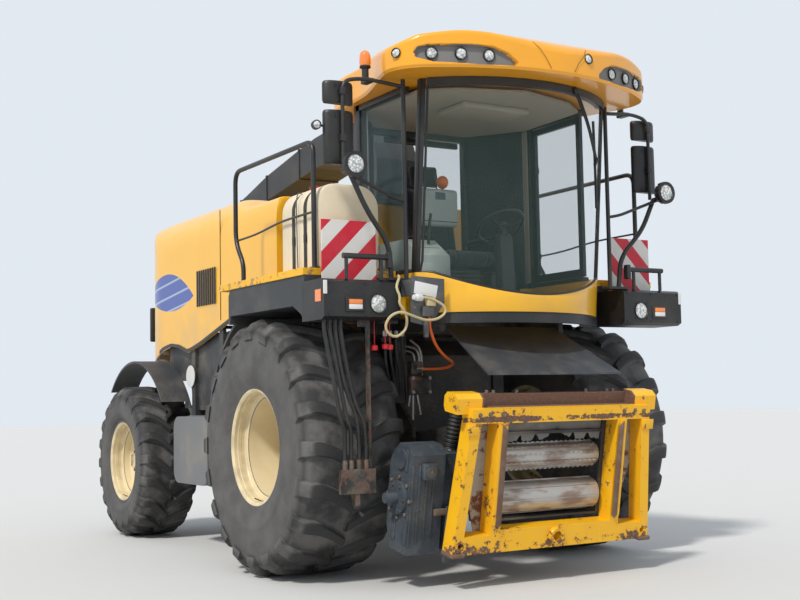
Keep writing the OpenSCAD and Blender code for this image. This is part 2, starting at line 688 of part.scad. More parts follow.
module rear_mudguards() color("#2a2c2e") from_axle() both_sides() {
    guard_y = wheelbase - 100;
    guard_r = rear_r + 238.5;
    across(1110, 1370) intersection() {
        difference() {
            translate([guard_y, rear_r]) circle(guard_r, $fn = 200);
            translate([guard_y, rear_r]) circle(guard_r - 20, $fn = 200);
        }
        polygon([[guard_y - 1200, 1230], [guard_y + 1200, 1400], [guard_y + 1200, 1800], [guard_y - 1200, 1800]]);
    }
    across(hood_half - skin - 30, 1110) translate([guard_y, 0]) intersection() {
        polygon([[-820, 1200], [-660, 1200], [-660, 1340], [-400, 1480], [0, 1520], [0, 1640], [-820, 1640]]);
        translate([0, rear_r]) circle(guard_r, $fn = 200);
    }
}

module ladder() color("#2a2c2e") from_axle() {
    for (y = [1140, 1470]) block([1300, y, 600], [1330, y + 25, fender_z1]);
    for (i = [0 : 4]) block([1230, 1165, 620 + i * 290], [1400, 1470, 645 + i * 290]);
}

module tow_hitch() color("#26282a") from_axle() translate([0, rail_end, 0]) difference() {
    union() {
        block([-150, 0, 1010], [150, 25, 1210]);
        for (z = [1040, 1140]) {
            block([-60, 25, z], [60, 90, z + 30]);
            translate([0, 90, z]) cylinder(r = 60, h = 30);
        }
    }
    translate([0, 90, 1000]) cylinder(r = 16, h = 200);
}

// Hydraulic coupler beside the intake

// Hoses: x at the light box, x and height of the bend in front of the tyre, x at the coupler.
hoses = [[1540, 1452, 1150, 1395], [1500, 1408, 1150, 1348], [1460, 1392, 1290, 1288], [1420, 1340, 1240, 1236]];
ferrule_z = 860;

module hose_coupler() color("#3c4044") from_axle() on_right() {
    block([1180, -1010, box_z0 - 40], [1260, -980, box_z0]);
    block([1180, -1010, 700], [1200, -980, box_z0 - 40]);
    block([1180, -1060, 640], [1425, -1000, 800]);
    across(1300, 1330) polygon([[-1055, 560], [-1015, 540], [-990, 600], [-990, 720], [-1055, 720]]);
    for (h = hoses) translate([h[3], -1030, 795]) cylinder(r = 18, h = ferrule_z - 795);
}

module coupler_hoses() color("#151515") from_axle() on_right() for (h = hoses)
    tube_path([[h[0], -1044, box_z0], [h[0], -1044, box_z0 - 90], [h[1], -1078, h[2]], [h[3], -1030, 960],
        [h[3], -1030, ferrule_z]], 14, 40, 8);

// Intake

// Places what is drawn about the intake's pivot, with y and z counted from it.
module in_intake() translate([0, intake_y, intake_pivot_z]) rotate([intake_droop, 0, 0]) children();

module intake_housing() color("#3a3d40") from_axle() in_intake() {
    both_sides() {
        difference() {
            across(throat_half, throat_half + 20) union() {
                polygon([[-1070, -330], [-700, -330], [-60, -70], [0, -70], [0, 70], [-60, 70], [-700, 260],
                    [-1070, 260]]);
                circle(70);
            }
            for (p = [[0, 0], upper_roll_at, lower_roll_at])
                shaft(throat_half - 5, throat_half + 30, p, p == [0, 0] ? pivot_r + run : 25 + run);
        }
        block([throat_half, frame_y1, -345], [545, frame_y1 + 15, 345]);
        for (x = [320, 385])
            across(x, x + 15) polygon([[-860, -345], [-700, -345], [-725, -430], [-795, -430]]);
    }
    block([-throat_half, frame_y1, 240], [throat_half, -700, 260]);
    block([-throat_half - 20, frame_y1, -345], [throat_half + 20, -700, -330]);
}

// Coupling frame: beams and posts, blocks with a square tube on top, a ring hook in the middle below.
module header_frame() color("#d9a42c") from_axle() in_intake() difference() {
    union() {
        along(frame_y0, frame_y1) difference() {
            polygon([[-760, 440], [760, 440], [760, 350], [840, -520], [-840, -520], [-760, 350]]);
            panel([-470, -370], [470, 345]);
            both_sides() polygon([[550, 345], [685, 345], [755, -400], [550, -400]]);
        }
        both_sides() across(640, 850) polygon([[-1140, 400], [-1000, 400], [-980, 430], [-980, 500], [-1010, 530],
            [-1100, 530], [-1140, 500]]);
        block([-650, -1050, 430], [650, -990, 515]);
        translate([0, frame_y0 - 14, -440]) rotate([-90, 0, 0]) cylinder(r = 62, h = 40);
        both_sides() along(frame_y0 - 10, frame_y0 + 5) polygon([[500, 345], [545, 345], [545, -330], [522, -350],
            [500, -330]]);
    }
    both_sides() translate([lock_at[0], frame_y1 + 10, lock_at[1]]) rotate([90, 0, 0])
        cylinder(r = lock_r, h = frame_y1 - frame_y0 + 20);
    translate([0, frame_y0 - 20, -440]) rotate([-90, 0, 0]) cylinder(r = 34, h = 60);
}

// Coil spring from a to b, as turns around a core.
module spring(a, b, r, turns) {
    d = b - a;
    translate(a) rotate([0, acos(d.z / norm(d)), atan2(d.y, d.x)]) rotate_extrude() {
        panel([0, 0], [r * 0.7, norm(d)]);
        for (i = [0 : turns - 1]) translate([r * 0.8, (i + 0.5) * norm(d) / turns]) circle(r * 0.2);
    }
}

module header_gearbox() color("#303437") from_axle() in_intake() on_right() {
    shaft(throat_half + 20, 620, [-830, -150], 70);
    shaft(560, 600, [-830, -150], 95);
    across(620, 800) polygon([[-930, -300], [-700, -300], [-690, 40], [-740, 90], [-900, 90]]);
    across(790, 1050) polygon([[-960, -560], [-760, -560], [-690, -400], [-690, 20], [-740, 110], [-800, 160],
        [-900, 160], [-960, 100]]);
    across(690, 760) polygon([[-950, -540], [-900, -560], [-860, -290], [-930, -290]]);
    across(600, 680) polygon([[-950, -420], [-900, -440], [-860, -290], [-930, -290]]);
    shaft(1050, 1075, [-830, -200], 110);
    for (a = [0 : 60 : 300]) shaft(1070, 1085, [-830 + 90 * cos(a), -200 + 90 * sin(a)], 9);
    shaft(1070, 1160, [-830, -200], 35);
    shaft(1045, 1065, [-830, 60], 70);
    spring([660, -800, 80], [600, -800, 480], 48, 14);
    block([560, -850, 470], [655, -750, 490]);
    across(645, 660) polygon([[-980, 440], [-755, 470], [-755, 490], [-980, 490]]);
}

// Shaft and drum of a feed roll.
module feed_roll(at, r) {
    shaft(-throat_half + 8, throat_half - 8, at, r);
    shaft(-throat_half - 20, throat_half + 20, at, 25);
}

// Serrated bar along the drum: a saw edge of tooth_count teeth, height above the drum's middle r.
module saw_bar(r, tooth_count) {
    half = throat_half - 20;
    step = 2 * half / tooth_count;
    translate([0, 5, 0]) rotate([90, 0, 0]) linear_extrude(10) polygon(concat([[half, r - 25], [-half, r - 25]],
        [for (i = [0 : tooth_count - 1]) each [[-half + i * step, r - 9], [-half + (i + 0.5) * step, r]]],
        [[half, r - 9]]));
}

module upper_roll() color("#9a9c9d") from_axle() in_intake() {
    feed_roll(upper_roll_at, 85);
    translate([0, upper_roll_at[0], upper_roll_at[1]])
        for (i = [0 : 9]) rotate([i * 36, 0, 0]) saw_bar(100, 20);
}

module lower_roll() color("#9a9c9d") from_axle() in_intake() {
    feed_roll(lower_roll_at, 108);
    translate([0, lower_roll_at[0], lower_roll_at[1]])
        for (i = [0 : 7]) rotate([i * 45, 0, 0]) block([-throat_half + 20, -5, 95], [throat_half - 20, 5, 115]);
}

module intake_cover() color("#2e3337") from_axle() {
    both_sides() intersection() {
        across(0, 575) polygon([cover_hinge + [0, 12], [-1508, 1412], [-1508, 1400], cover_hinge]);
        translate([0, 0, 1300]) linear_extrude(600) polygon([[0, -1508], [575, -1508], [484, -860], [0, -860]]);
    }
    shaft(-540, 540, cover_hinge, 12);
}

// Lift cylinders under the intake

// Where a point of the intake, given from its pivot, lies in the machine's side view.
function intake_point(p) = [intake_y + p[0] * cos(intake_droop) - p[1] * sin(intake_droop),
    intake_pivot_z + p[0] * sin(intake_droop) + p[1] * cos(intake_droop)];

// Places a cylinder drawn along +Z at x, with its foot at (y, z) and pointing to the eye.
module aimed(x, foot, eye) translate([x, foot[0], foot[1]])
    rotate([atan2(eye[1] - foot[1], eye[0] - foot[0]) - 90, 0, 0]) children();

// Barrel with a cross bore at its foot, of pin radius pin_r.
module barrel(length, r, bore_r, pin_r, w) difference() {
    union() {
        cylinder(r = r, h = length);
        translate([-w / 2, 0, 0]) rotate([0, 90, 0]) cylinder(r = r, h = w);
    }
    translate([-w, 0, 0]) rotate([0, 90, 0]) cylinder(r = pin_r, h = 2 * w);
    translate([0, 0, r + 10]) cylinder(r = bore_r, h = length);
}

// Rod from inside its barrel to its eye, with the pin in it.
module rod(from, length, r, eye_r, w) {
    translate([0, 0, from]) cylinder(r = r, h = length - from);
    translate([-w / 2, 0, length]) rotate([0, 90, 0]) cylinder(r = eye_r, h = w);
}

module lift_barrels() color("#26282a") from_axle() both_sides()
    aimed(360, lift_foot, intake_point(lift_eye)) {
        barrel(520, 24, 14 + run, 12, 40);
        rotate([0, 90, 0]) translate([0, 0, -40]) cylinder(r = 15, h = 80);
    }

module lift_rods() color("#c8cacc") from_axle() both_sides()
    aimed(360, lift_foot, intake_point(lift_eye))
        rod(100, norm(intake_point(lift_eye) - lift_foot), 14, 28, 44);

// Spout

module turret_base() color("#2a2c2e") from_axle() difference() {
    translate([0, turret_y, turret_z]) cylinder(r = 300, h = 30);
    translate([0, turret_y, turret_z - 1]) cylinder(r = 240, h = 40);
}

module spout_turret() color("#2a2c2e") from_axle() {
    difference() {
        union() {
            translate([0, turret_y, turret_z + 36]) cylinder(r = 290, h = 40);
            translate([0, turret_y, turret_z - 5]) cylinder(r = 240 - run, h = 45);
        }
        translate([0, turret_y, turret_z - 50]) cylinder(r = 225, h = 150);
    }
    both_sides() difference() {
        across(spout_w / 2 + 6, spout_w / 2 + 24) polygon([[510, turret_z + 60], [640, turret_z + 60], [600, 3040],
            [520, 3040]]);
        shaft(spout_w / 2, spout_w / 2 + 30, spout_pivot, 20 + run);
    }
    both_sides() across(30, 42) polygon([[975, turret_z + 60], [1030, turret_z + 60], [1030, 3000], [990, 3000]]);
    shaft(-42, 42, spout_foot, 12);
}

// Side view of the spout's duct, drawn in by wall on its top and bottom.
module spout_side(wall) {
    end = rear_reach - 260 + wall;
    polygon([
        [540 + wall, 2960 - wall], [960 - wall, 2960 - wall], [960 - wall, 3180 + wall], [1020 - wall, 3270 + wall],
        [1120 - wall, 3330 + wall], [1300, 3360 + wall], [1640, 3345 + wall], [1970, 3300 + wall],
        [2680, 3200 + wall], [3300, 3080 + wall], [end, 2880 + wall], [end, 3060 - wall], [3150, 3320 - wall],
        [2680, 3440 - wall], [1970, 3570 - wall], [1640, 3622 - wall], [1300, 3650 - wall], [1140, 3655 - wall],
        [1000, 3640 - wall], [840, 3590 - wall], [700 + wall / 2, 3500 - wall], [600 + wall, 3390 - wall / 2],
        [540 + wall, 3250 - wall / 2]]);
}

module spout() color("#26282a") from_axle() {
    difference() {
        union() {
            across(-spout_w / 2, spout_w / 2) spout_side(0);
            intersection() {
                across(-spout_w / 2 - 8, spout_w / 2 + 8) spout_side(-8);
                for (y = [1290, 1960, 2670, 3290]) block([-300, y, 2800], [300, y + 20, 3800]);
            }
        }
        across(-spout_w / 2 + 10, spout_w / 2 - 10) spout_side(10);
    }
    both_sides() {
        shaft(spout_w / 2 - 10, spout_w / 2 + 24, spout_pivot, 20);
        across(18, 30) polygon([[1320, 3360], [1480, 3350], [1425, 3262], [1375, 3262]]);
        shaft(spout_w / 2 - 10, spout_w / 2 + 18, flap_pivot, 12);
    }
}

module spout_flap() color("#26282a") from_axle() {
    across(-spout_w / 2 - 12, spout_w / 2 + 12) translate(flap_pivot)
        polygon([[32, 32], [32, 20], [270, -90], [270, -75]]);
    both_sides() difference() {
        across(spout_w / 2 + 6, spout_w / 2 + 12) translate(flap_pivot) polygon([[-50, 10], [-30, 50], [32, 32],
            [270, -75], [270, -150], [32, -110], [-50, -70]]);
        shaft(spout_w / 2, spout_w / 2 + 20, flap_pivot, 12 + run);
    }
}

module spout_barrel() color("#26282a") from_axle() aimed(0, spout_foot, spout_eye)
    barrel(300, 26, 14 + run, 12 + run, 54);
module spout_rod() color("#c8cacc") from_axle() aimed(0, spout_foot, spout_eye)
    rod(50, norm(spout_eye - spout_foot), 14, 26, 30);

chassis_frame();
crop_duct();
cab_mounts();
hood_posts();
engine_block();
front_axle();
rear_axle();
cab_base();
cab_frame();
cab_roof();
roof_lamps();
windscreen();
cab_glass();
driver_seat();
cab_controls();
front_fenders();
decks();
light_boxes();
front_lamps();
handrails();
additive_tank();
warning_panels();
hood();
side_panels();
fuel_tanks();
rear_mudguards();
ladder();
mirror_stays();
mirrors();
work_lights();
turret_base();
hose_coupler();
coupler_hoses();
tow_hitch();
front_tyre_right();
front_rim_right();
front_tyre_left();
front_rim_left();
rear_tyre_right();
rear_rim_right();
rear_tyre_left();
rear_rim_left();
knuckle_right();
knuckle_left();
intake_housing();
header_frame();
header_gearbox();
upper_roll();
lower_roll();
intake_cover();
lift_barrels();
lift_rods();
spout_turret();
spout();
spout_flap();
spout_barrel();
spout_rod();
cab_door();
cab_door_glass();
rear_door();
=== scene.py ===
"""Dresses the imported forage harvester: finishes, tyres, hood, roof, cab inside, lamps, hoses and small parts."""
import math

import bmesh
import bpy
from bpy.props import FloatProperty, FloatVectorProperty, IntProperty, PointerProperty
from mathutils import Matrix, Vector


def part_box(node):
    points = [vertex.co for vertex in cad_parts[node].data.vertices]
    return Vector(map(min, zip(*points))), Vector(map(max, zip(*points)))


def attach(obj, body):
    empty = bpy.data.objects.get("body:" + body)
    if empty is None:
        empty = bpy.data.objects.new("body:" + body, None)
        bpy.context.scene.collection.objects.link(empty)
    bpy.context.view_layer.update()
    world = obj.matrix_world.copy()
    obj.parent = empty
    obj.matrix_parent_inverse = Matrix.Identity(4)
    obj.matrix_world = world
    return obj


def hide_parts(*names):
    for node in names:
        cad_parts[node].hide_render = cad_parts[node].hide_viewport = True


bl_info = {
    "name": "Forage Harvester",
    "version": (1, 0, 0),
    "blender": (4, 5, 0),
    "location": "3D View > Sidebar > Harvester",
    "description": "Builds the looks of a self-propelled forage harvester round its CAD frame",
    "category": "Add Mesh",
}

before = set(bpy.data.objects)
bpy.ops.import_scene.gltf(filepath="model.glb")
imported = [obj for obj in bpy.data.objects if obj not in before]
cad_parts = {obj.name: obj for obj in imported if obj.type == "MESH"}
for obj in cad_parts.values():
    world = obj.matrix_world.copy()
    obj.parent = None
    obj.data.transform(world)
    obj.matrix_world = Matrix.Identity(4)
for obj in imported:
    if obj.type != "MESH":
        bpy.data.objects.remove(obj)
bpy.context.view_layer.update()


def middle(node):
    """Middle of a CAD node's box."""
    low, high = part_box(node)
    return (low + high) / 2


AXLE = middle("front_rim_left")
REAR_AXLE = middle("rear_rim_left")
AXLE_Y = AXLE.y
SIDES = (("right", -1), ("left", 1))


def at(x, y, z):
    """A point given in metres from the middle of the front axle's line, z from the ground."""
    return Vector((x, y + AXLE_Y, z))


def ease(t):
    """Smooth step from 0 to 1."""
    t = min(max(t, 0), 1)
    return t * t * (3 - 2 * t)


# Sizes and colours that a user may change


def colour_property(name, description, value):
    return FloatVectorProperty(name=name, description=description, subtype="COLOR", size=3, min=0, max=1, default=value)


def length_property(name, description, value):
    return FloatProperty(name=name, description=description, default=value, min=0, unit="LENGTH")


class HarvesterSizes(bpy.types.PropertyGroup):
    lug_count: IntProperty(name="Lugs", description="Lugs on each side of a tyre", default=20, min=12, max=30)
    lug_height: length_property("Lug height", "Height of a lug over the tread", 0.048)
    hood_corner: length_property("Hood corner", "Radius of the hood's long upper corners", 0.32)
    hood_rear: length_property("Hood rear", "Radius of the hood's rear corners in plan", 0.80)
    panel_stripe: length_property("Stripe", "Width of a stripe on the warning panels", 0.10)


class HarvesterColours(bpy.types.PropertyGroup):
    body: colour_property("Body", "Yellow paint of the hood and the cab", (0.900, 0.470, 0.012))
    roof: colour_property("Roof", "Yellow of the moulded roof", (0.930, 0.395, 0.010))
    plastic: colour_property("Plastic", "Moulded fender plastic", (0.040, 0.043, 0.048))
    rims: colour_property("Rims", "Cream rim paint", (0.760, 0.640, 0.400))
    tank: colour_property("Tank", "Cream tank plastic", (0.790, 0.680, 0.490))
    decal: colour_property("Decal", "Blue patch on the hood", (0.020, 0.060, 0.330))


# Materials


class Wire:
    """An output socket of a material, so that shader maths is written as an expression."""

    def __init__(self, finish, socket):
        self.finish = finish
        self.socket = socket

    def _math(self, operation, *values):
        return self.finish.node("ShaderNodeMath", {"operation": operation}, dict(enumerate(values)))

    def __add__(self, other):
        return self._math("ADD", self, other)

    def __sub__(self, other):
        return self._math("SUBTRACT", self, other)

    def __rsub__(self, other):
        return self._math("SUBTRACT", other, self)

    def __mul__(self, other):
        return self._math("MULTIPLY", self, other)

    def __truediv__(self, other):
        return self._math("DIVIDE", self, other)

    def __abs__(self):
        return self._math("ABSOLUTE", self)

    __radd__ = __add__
    __rmul__ = __mul__

    def below(self, limit):
        return self._math("LESS_THAN", self, limit)

    def above(self, limit):
        return self._math("GREATER_THAN", self, limit)

    def fraction(self):
        return self._math("FRACT", self)

    def root(self):
        return self._math("SQRT", self)

    def both(self, other):
        return self._math("MINIMUM", self, other)

    def rise(self, low, high):
        """0 below low, 1 above high and smooth between them."""
        return self.finish.node("ShaderNodeMapRange", {"interpolation_type": "SMOOTHSTEP"},
                                {0: self, 1: low, 2: high, 3: 0.0, 4: 1.0})


class Finish:
    """A material under construction on a Principled shader."""

    def __init__(self, name, **values):
        self.material = bpy.data.materials.new(name)
        self.material.use_nodes = True
        self.tree = self.material.node_tree
        self.tree.nodes.clear()
        self.shader = self.tree.nodes.new("ShaderNodeBsdfPrincipled")
        self.output = self.tree.nodes.new("ShaderNodeOutputMaterial")
        self.tree.links.new(self.shader.outputs[0], self.output.inputs[0])
        self.where = self.node("ShaderNodeTexCoord", output="Object")
        self.set(**values)

    def feed(self, socket, value):
        if isinstance(value, Wire):
            self.tree.links.new(value.socket, socket)
        elif isinstance(value, (tuple, list)) and len(socket.default_value) == 4 and len(value) == 3:
            socket.default_value = (*value, 1)
        else:
            socket.default_value = value

    def node(self, kind, settings=None, inputs=None, output=0):
        """Adds a node: its settings first, then the values or links of its sockets."""
        made = self.tree.nodes.new(kind)
        for key, value in (settings or {}).items():
            setattr(made, key, value)
        for key, value in (inputs or {}).items():
            self.feed(made.inputs[key], value)
        return Wire(self, made.outputs[output])

    def set(self, **values):
        """Feeds the shader's sockets, named as in base_color=."""
        for key, value in values.items():
            self.feed(self.shader.inputs[key.replace("_", " ").title().replace("Ior", "IOR")], value)
        return self

    def noise(self, scale, detail=4.0, stretch=(1, 1, 1), roughness=0.55):
        place = self.where
        if stretch != (1, 1, 1):
            place = self.node("ShaderNodeMapping", None, {0: self.where, 3: stretch})
        return self.node("ShaderNodeTexNoise", None, {"Vector": place, "Scale": scale, "Detail": detail,
                                                      "Roughness": roughness})

    def cells(self, scale):
        return self.node("ShaderNodeTexVoronoi", None, {"Vector": self.where, "Scale": scale})

    def mix(self, factor, first, second):
        return self.node("ShaderNodeMix", {"data_type": "RGBA"}, {0: factor, 6: first, 7: second}, 2)

    def axes(self):
        """The x, y and z of a point."""
        split = self.tree.nodes.new("ShaderNodeSeparateXYZ")
        self.feed(split.inputs[0], self.where)
        return [Wire(self, socket) for socket in split.outputs]

    def from_axle(self, axle):
        """Distance of a point from a wheel's axis."""
        _, y, z = self.axes()
        return ((y - axle.y) * (y - axle.y) + (z - axle.z) * (z - axle.z)).root()

    def relief(self, height, depth, strength=1.0):
        """Bump of this depth in metres."""
        return self.set(normal=self.node("ShaderNodeBump", None, {"Strength": strength, "Distance": depth,
                                                                  "Height": height}))


DUST = (0.36, 0.31, 0.24)
RUST = (0.15, 0.055, 0.022)
STEEL = (0.42, 0.41, 0.40)


def painted(name, colour, roughness=0.35, dust=0.25, grain=0.0, metallic=0.0, coat=0.0, dust_scale=3.0,
            wear=0.0, worn=STEEL, wear_scale=14.0, clean_above=2.4):
    """A coloured finish with cloudy dust that thins out upwards, chips that show what is under it, and a fine grain."""
    f = Finish(name, metallic=metallic, coat_weight=coat, coat_roughness=0.08)
    _, _, z = f.axes()
    cloud = f.noise(dust_scale, 6.0)
    speck = f.noise(dust_scale * 22, 3.0)
    low = 1.0 - z.rise(0.3, clean_above) * 0.7
    film = ((cloud * 0.75 + speck * 0.25).rise(0.42, 0.68) * low * dust)
    shade = f.mix(cloud.rise(0.2, 0.8) * 0.35, colour, tuple(c * 0.80 for c in colour))
    surface = f.mix(film, shade, DUST)
    rough = film * 0.35 + roughness + speck * 0.06
    if wear:
        chips = f.noise(wear_scale, 8.0, roughness=0.7)
        mask = (chips * 0.7 + cloud * 0.3).rise(0.62 - wear * 0.14, 0.66 - wear * 0.14)
        rim = (chips * 0.7 + cloud * 0.3).rise(0.58 - wear * 0.14, 0.62 - wear * 0.14)
        surface = f.mix(mask, f.mix(rim * 0.8, surface, RUST), worn)
        rough = rough + mask * 0.25
    f.set(base_color=surface, roughness=rough)
    if grain:
        f.relief(f.noise(420.0, 2.0), grain, 0.6)
    return f


def stripes(name):
    """Red and white stripes that point down and outwards, a little dusty."""
    f = Finish(name, roughness=0.42)
    x, _, z = f.axes()
    stripe = sizes().panel_stripe
    band = ((abs(x) + z) / (2 * stripe * math.sqrt(2)) + 0.36).fraction()
    dirt = f.noise(9.0, 6.0).rise(0.45, 0.8) * 0.35
    red = f.mix(dirt, (0.62, 0.012, 0.035), (0.42, 0.09, 0.07))
    white = f.mix(dirt, (0.74, 0.72, 0.68), (0.50, 0.45, 0.38))
    return f.set(base_color=f.mix(band.rise(0.485, 0.515), red, white))


def tyre_rubber(name, axle, tread):
    """Dusty rubber: grey film on the sidewall, pale dust at the lugs' feet and worn dark lug faces."""
    f = Finish(name, specular_ior_level=0.35)
    away = f.from_axle(axle)
    cloud = f.noise(5.0, 7.0)
    fine = f.noise(70.0, 4.0)
    wall = 1.0 - away.rise(tread - 0.10, tread - 0.03)
    feet = away.rise(tread - 0.06, tread - 0.02) * (1.0 - away.rise(tread + 0.012, tread + 0.03))
    dust = wall * (cloud.rise(0.3, 0.7) * 0.16 + 0.17) + feet * cloud.rise(0.35, 0.65) * 0.38 + fine * 0.12
    colour = f.mix(dust, (0.020, 0.020, 0.021), (0.27, 0.26, 0.25))
    f.set(base_color=colour, roughness=0.62 + dust * 0.3)
    return f.relief(fine + f.noise(240.0, 2.0) * 0.4, 0.0015, 0.7)


def rim_paint(name, axle, hub, edge):
    """Cream paint with rust round the hub and grime towards the bead."""
    f = Finish(name)
    away = f.from_axle(axle)
    cloud = f.noise(7.0, 7.0)
    rust = (1.0 - away.rise(hub * 0.8, hub * 1.5)) * cloud.rise(0.38, 0.62)
    grime = (away.rise(edge - 0.05, edge + 0.01) * 0.5 + 0.10) * cloud.rise(0.3, 0.75)
    paint = f.mix(grime, tuple(colours().rims), (0.30, 0.22, 0.13))
    f.set(base_color=f.mix(rust, paint, (0.19, 0.085, 0.04)), roughness=0.38 + rust * 0.4 + grime * 0.2)
    return f.relief(cloud * rust, 0.002)


def hood_paint(name):
    """Glossy yellow with a plain blue patch on each flank and dust towards the lower edge."""
    f = Finish(name, coat_weight=0.5, coat_roughness=0.06)
    _, y, z = f.axes()
    along = (y - (AXLE_Y + 2.86)) / 0.62
    up = (z - 2.25 - along * 0.04) / 0.34
    bow = 1.0 - along * along
    patch = bow.rise(0.0, 0.04).both(up.above(bow * -0.42)).both(up.below(bow * 0.62))
    streak = ((up * 2.6 + along * 0.8).fraction()).rise(0.80, 0.92)
    cloud = f.noise(2.2, 6.0)
    base = f.mix(cloud.rise(0.25, 0.8) * 0.3, tuple(colours().body), tuple(c * 0.84 for c in colours().body))
    base = f.mix((1.0 - z.rise(1.7, 2.5)) * cloud.rise(0.4, 0.7) * 0.35, base, DUST)
    blue = f.mix(streak * 0.8, tuple(colours().decal), (0.42, 0.50, 0.62))
    return f.set(base_color=f.mix(patch, base, blue), roughness=0.26 + cloud * 0.14)


def ribbed_steel(name):
    """Bare steel of the feed rolls: bright ridges, rust and crop stain between them."""
    f = Finish(name)
    cloud = f.noise(16.0, 8.0, stretch=(0.3, 1, 1))
    scratch = f.noise(60.0, 6.0, stretch=(0.08, 1, 1))
    stain = cloud.rise(0.42, 0.66)
    colour = f.mix(stain * 0.75, (0.50, 0.48, 0.45), (0.20, 0.11, 0.065))
    f.set(base_color=colour, metallic=0.85 - stain * 0.5, roughness=0.34 + scratch * 0.25 + stain * 0.15)
    return f.relief(scratch, 0.0008)


def seat_cloth(name):
    """Woven seat cloth."""
    colour = (0.020, 0.022, 0.028)
    f = Finish(name, roughness=0.92, sheen_weight=0.3, sheen_roughness=0.5)
    weave = f.node("ShaderNodeTexWave", {"wave_type": "BANDS"}, {"Vector": f.where, "Scale": 160.0, "Distortion": 1.0})
    f.set(base_color=f.mix(weave * 0.3 + f.noise(30.0) * 0.3, colour, tuple(c * 2.2 for c in colour)))
    return f.relief(weave, 0.0006)


def lens_finish(name, colour, glow, shade, depth):
    """Moulded lamp lens with fine flutes, darker between them by the factor shade."""
    f = Finish(name, roughness=0.08, coat_weight=1.0, coat_roughness=0.03, specular_ior_level=0.8)
    ridges = f.cells(62.0)
    f.set(base_color=f.mix(ridges.rise(0.25, 0.75), colour, tuple(c * shade for c in colour)))
    if glow:
        f.set(emission_color=colour, emission_strength=glow)
    return f.relief(ridges, depth)


def chipped_yellow(name):
    """Thick yellow paint that has chipped to brown rust, most of it on lower edges and on the square tube."""
    f = Finish(name)
    x, _, z = f.axes()
    cloud, flake, fine = f.noise(5.0, 5.0), f.noise(24.0, 8.0, roughness=0.72), f.noise(90.0, 4.0)
    low = 1.0 - z.rise(0.25, 0.34)
    strip = z.rise(1.088, 1.096) * (1.0 - z.rise(1.118, 1.135))
    tube = z.rise(1.186, 1.190) * (1.0 - abs(x).rise(0.652, 0.658))
    cover = flake * 0.6 + cloud * 0.4 + low * 0.055 + strip * 0.12 + tube * 0.5
    chip, halo = cover.rise(0.585, 0.600), cover.rise(0.560, 0.590)
    paint = f.mix(cloud.rise(0.3, 0.8) * 0.4, (0.90, 0.48, 0.010), (0.78, 0.36, 0.010))
    rust = f.mix(fine.rise(0.3, 0.7), (0.115, 0.060, 0.042), (0.20, 0.105, 0.070))
    f.set(base_color=f.mix(chip, f.mix(halo * 0.6, paint, (0.40, 0.17, 0.02)), rust), roughness=chip * 0.45 + 0.34)
    return f.relief(1.0 - chip, 0.0012)


def gearbox_casting(name):
    """Blue-grey painted castings under oily dust, with a black rubber boot."""
    f = Finish(name)
    x, _, z = f.axes()
    cloud, speck = f.noise(7.0, 7.0), f.noise(46.0, 5.0)
    base = f.mix(cloud.rise(0.35, 0.7), (0.034, 0.045, 0.058), (0.075, 0.090, 0.105))
    base = f.mix((cloud * 0.5 + speck * 0.5).rise(0.50, 0.66) * 0.7, base, (0.028, 0.026, 0.026))
    base = f.mix(speck.rise(0.60, 0.75) * 0.4, base, (0.30, 0.25, 0.19))
    boot = z.rise(0.905, 0.910) * x.rise(-0.785, -0.780)
    return f.set(base_color=f.mix(boot, base, (0.012, 0.012, 0.013)), roughness=0.48 + speck * 0.2).relief(speck, 0.002)


FINISHES = {}


def sizes():
    return bpy.context.scene.harvester_sizes


def colours():
    return bpy.context.scene.harvester_colours


def finish(name):
    """A finished material by its name."""
    return FINISHES[name].material


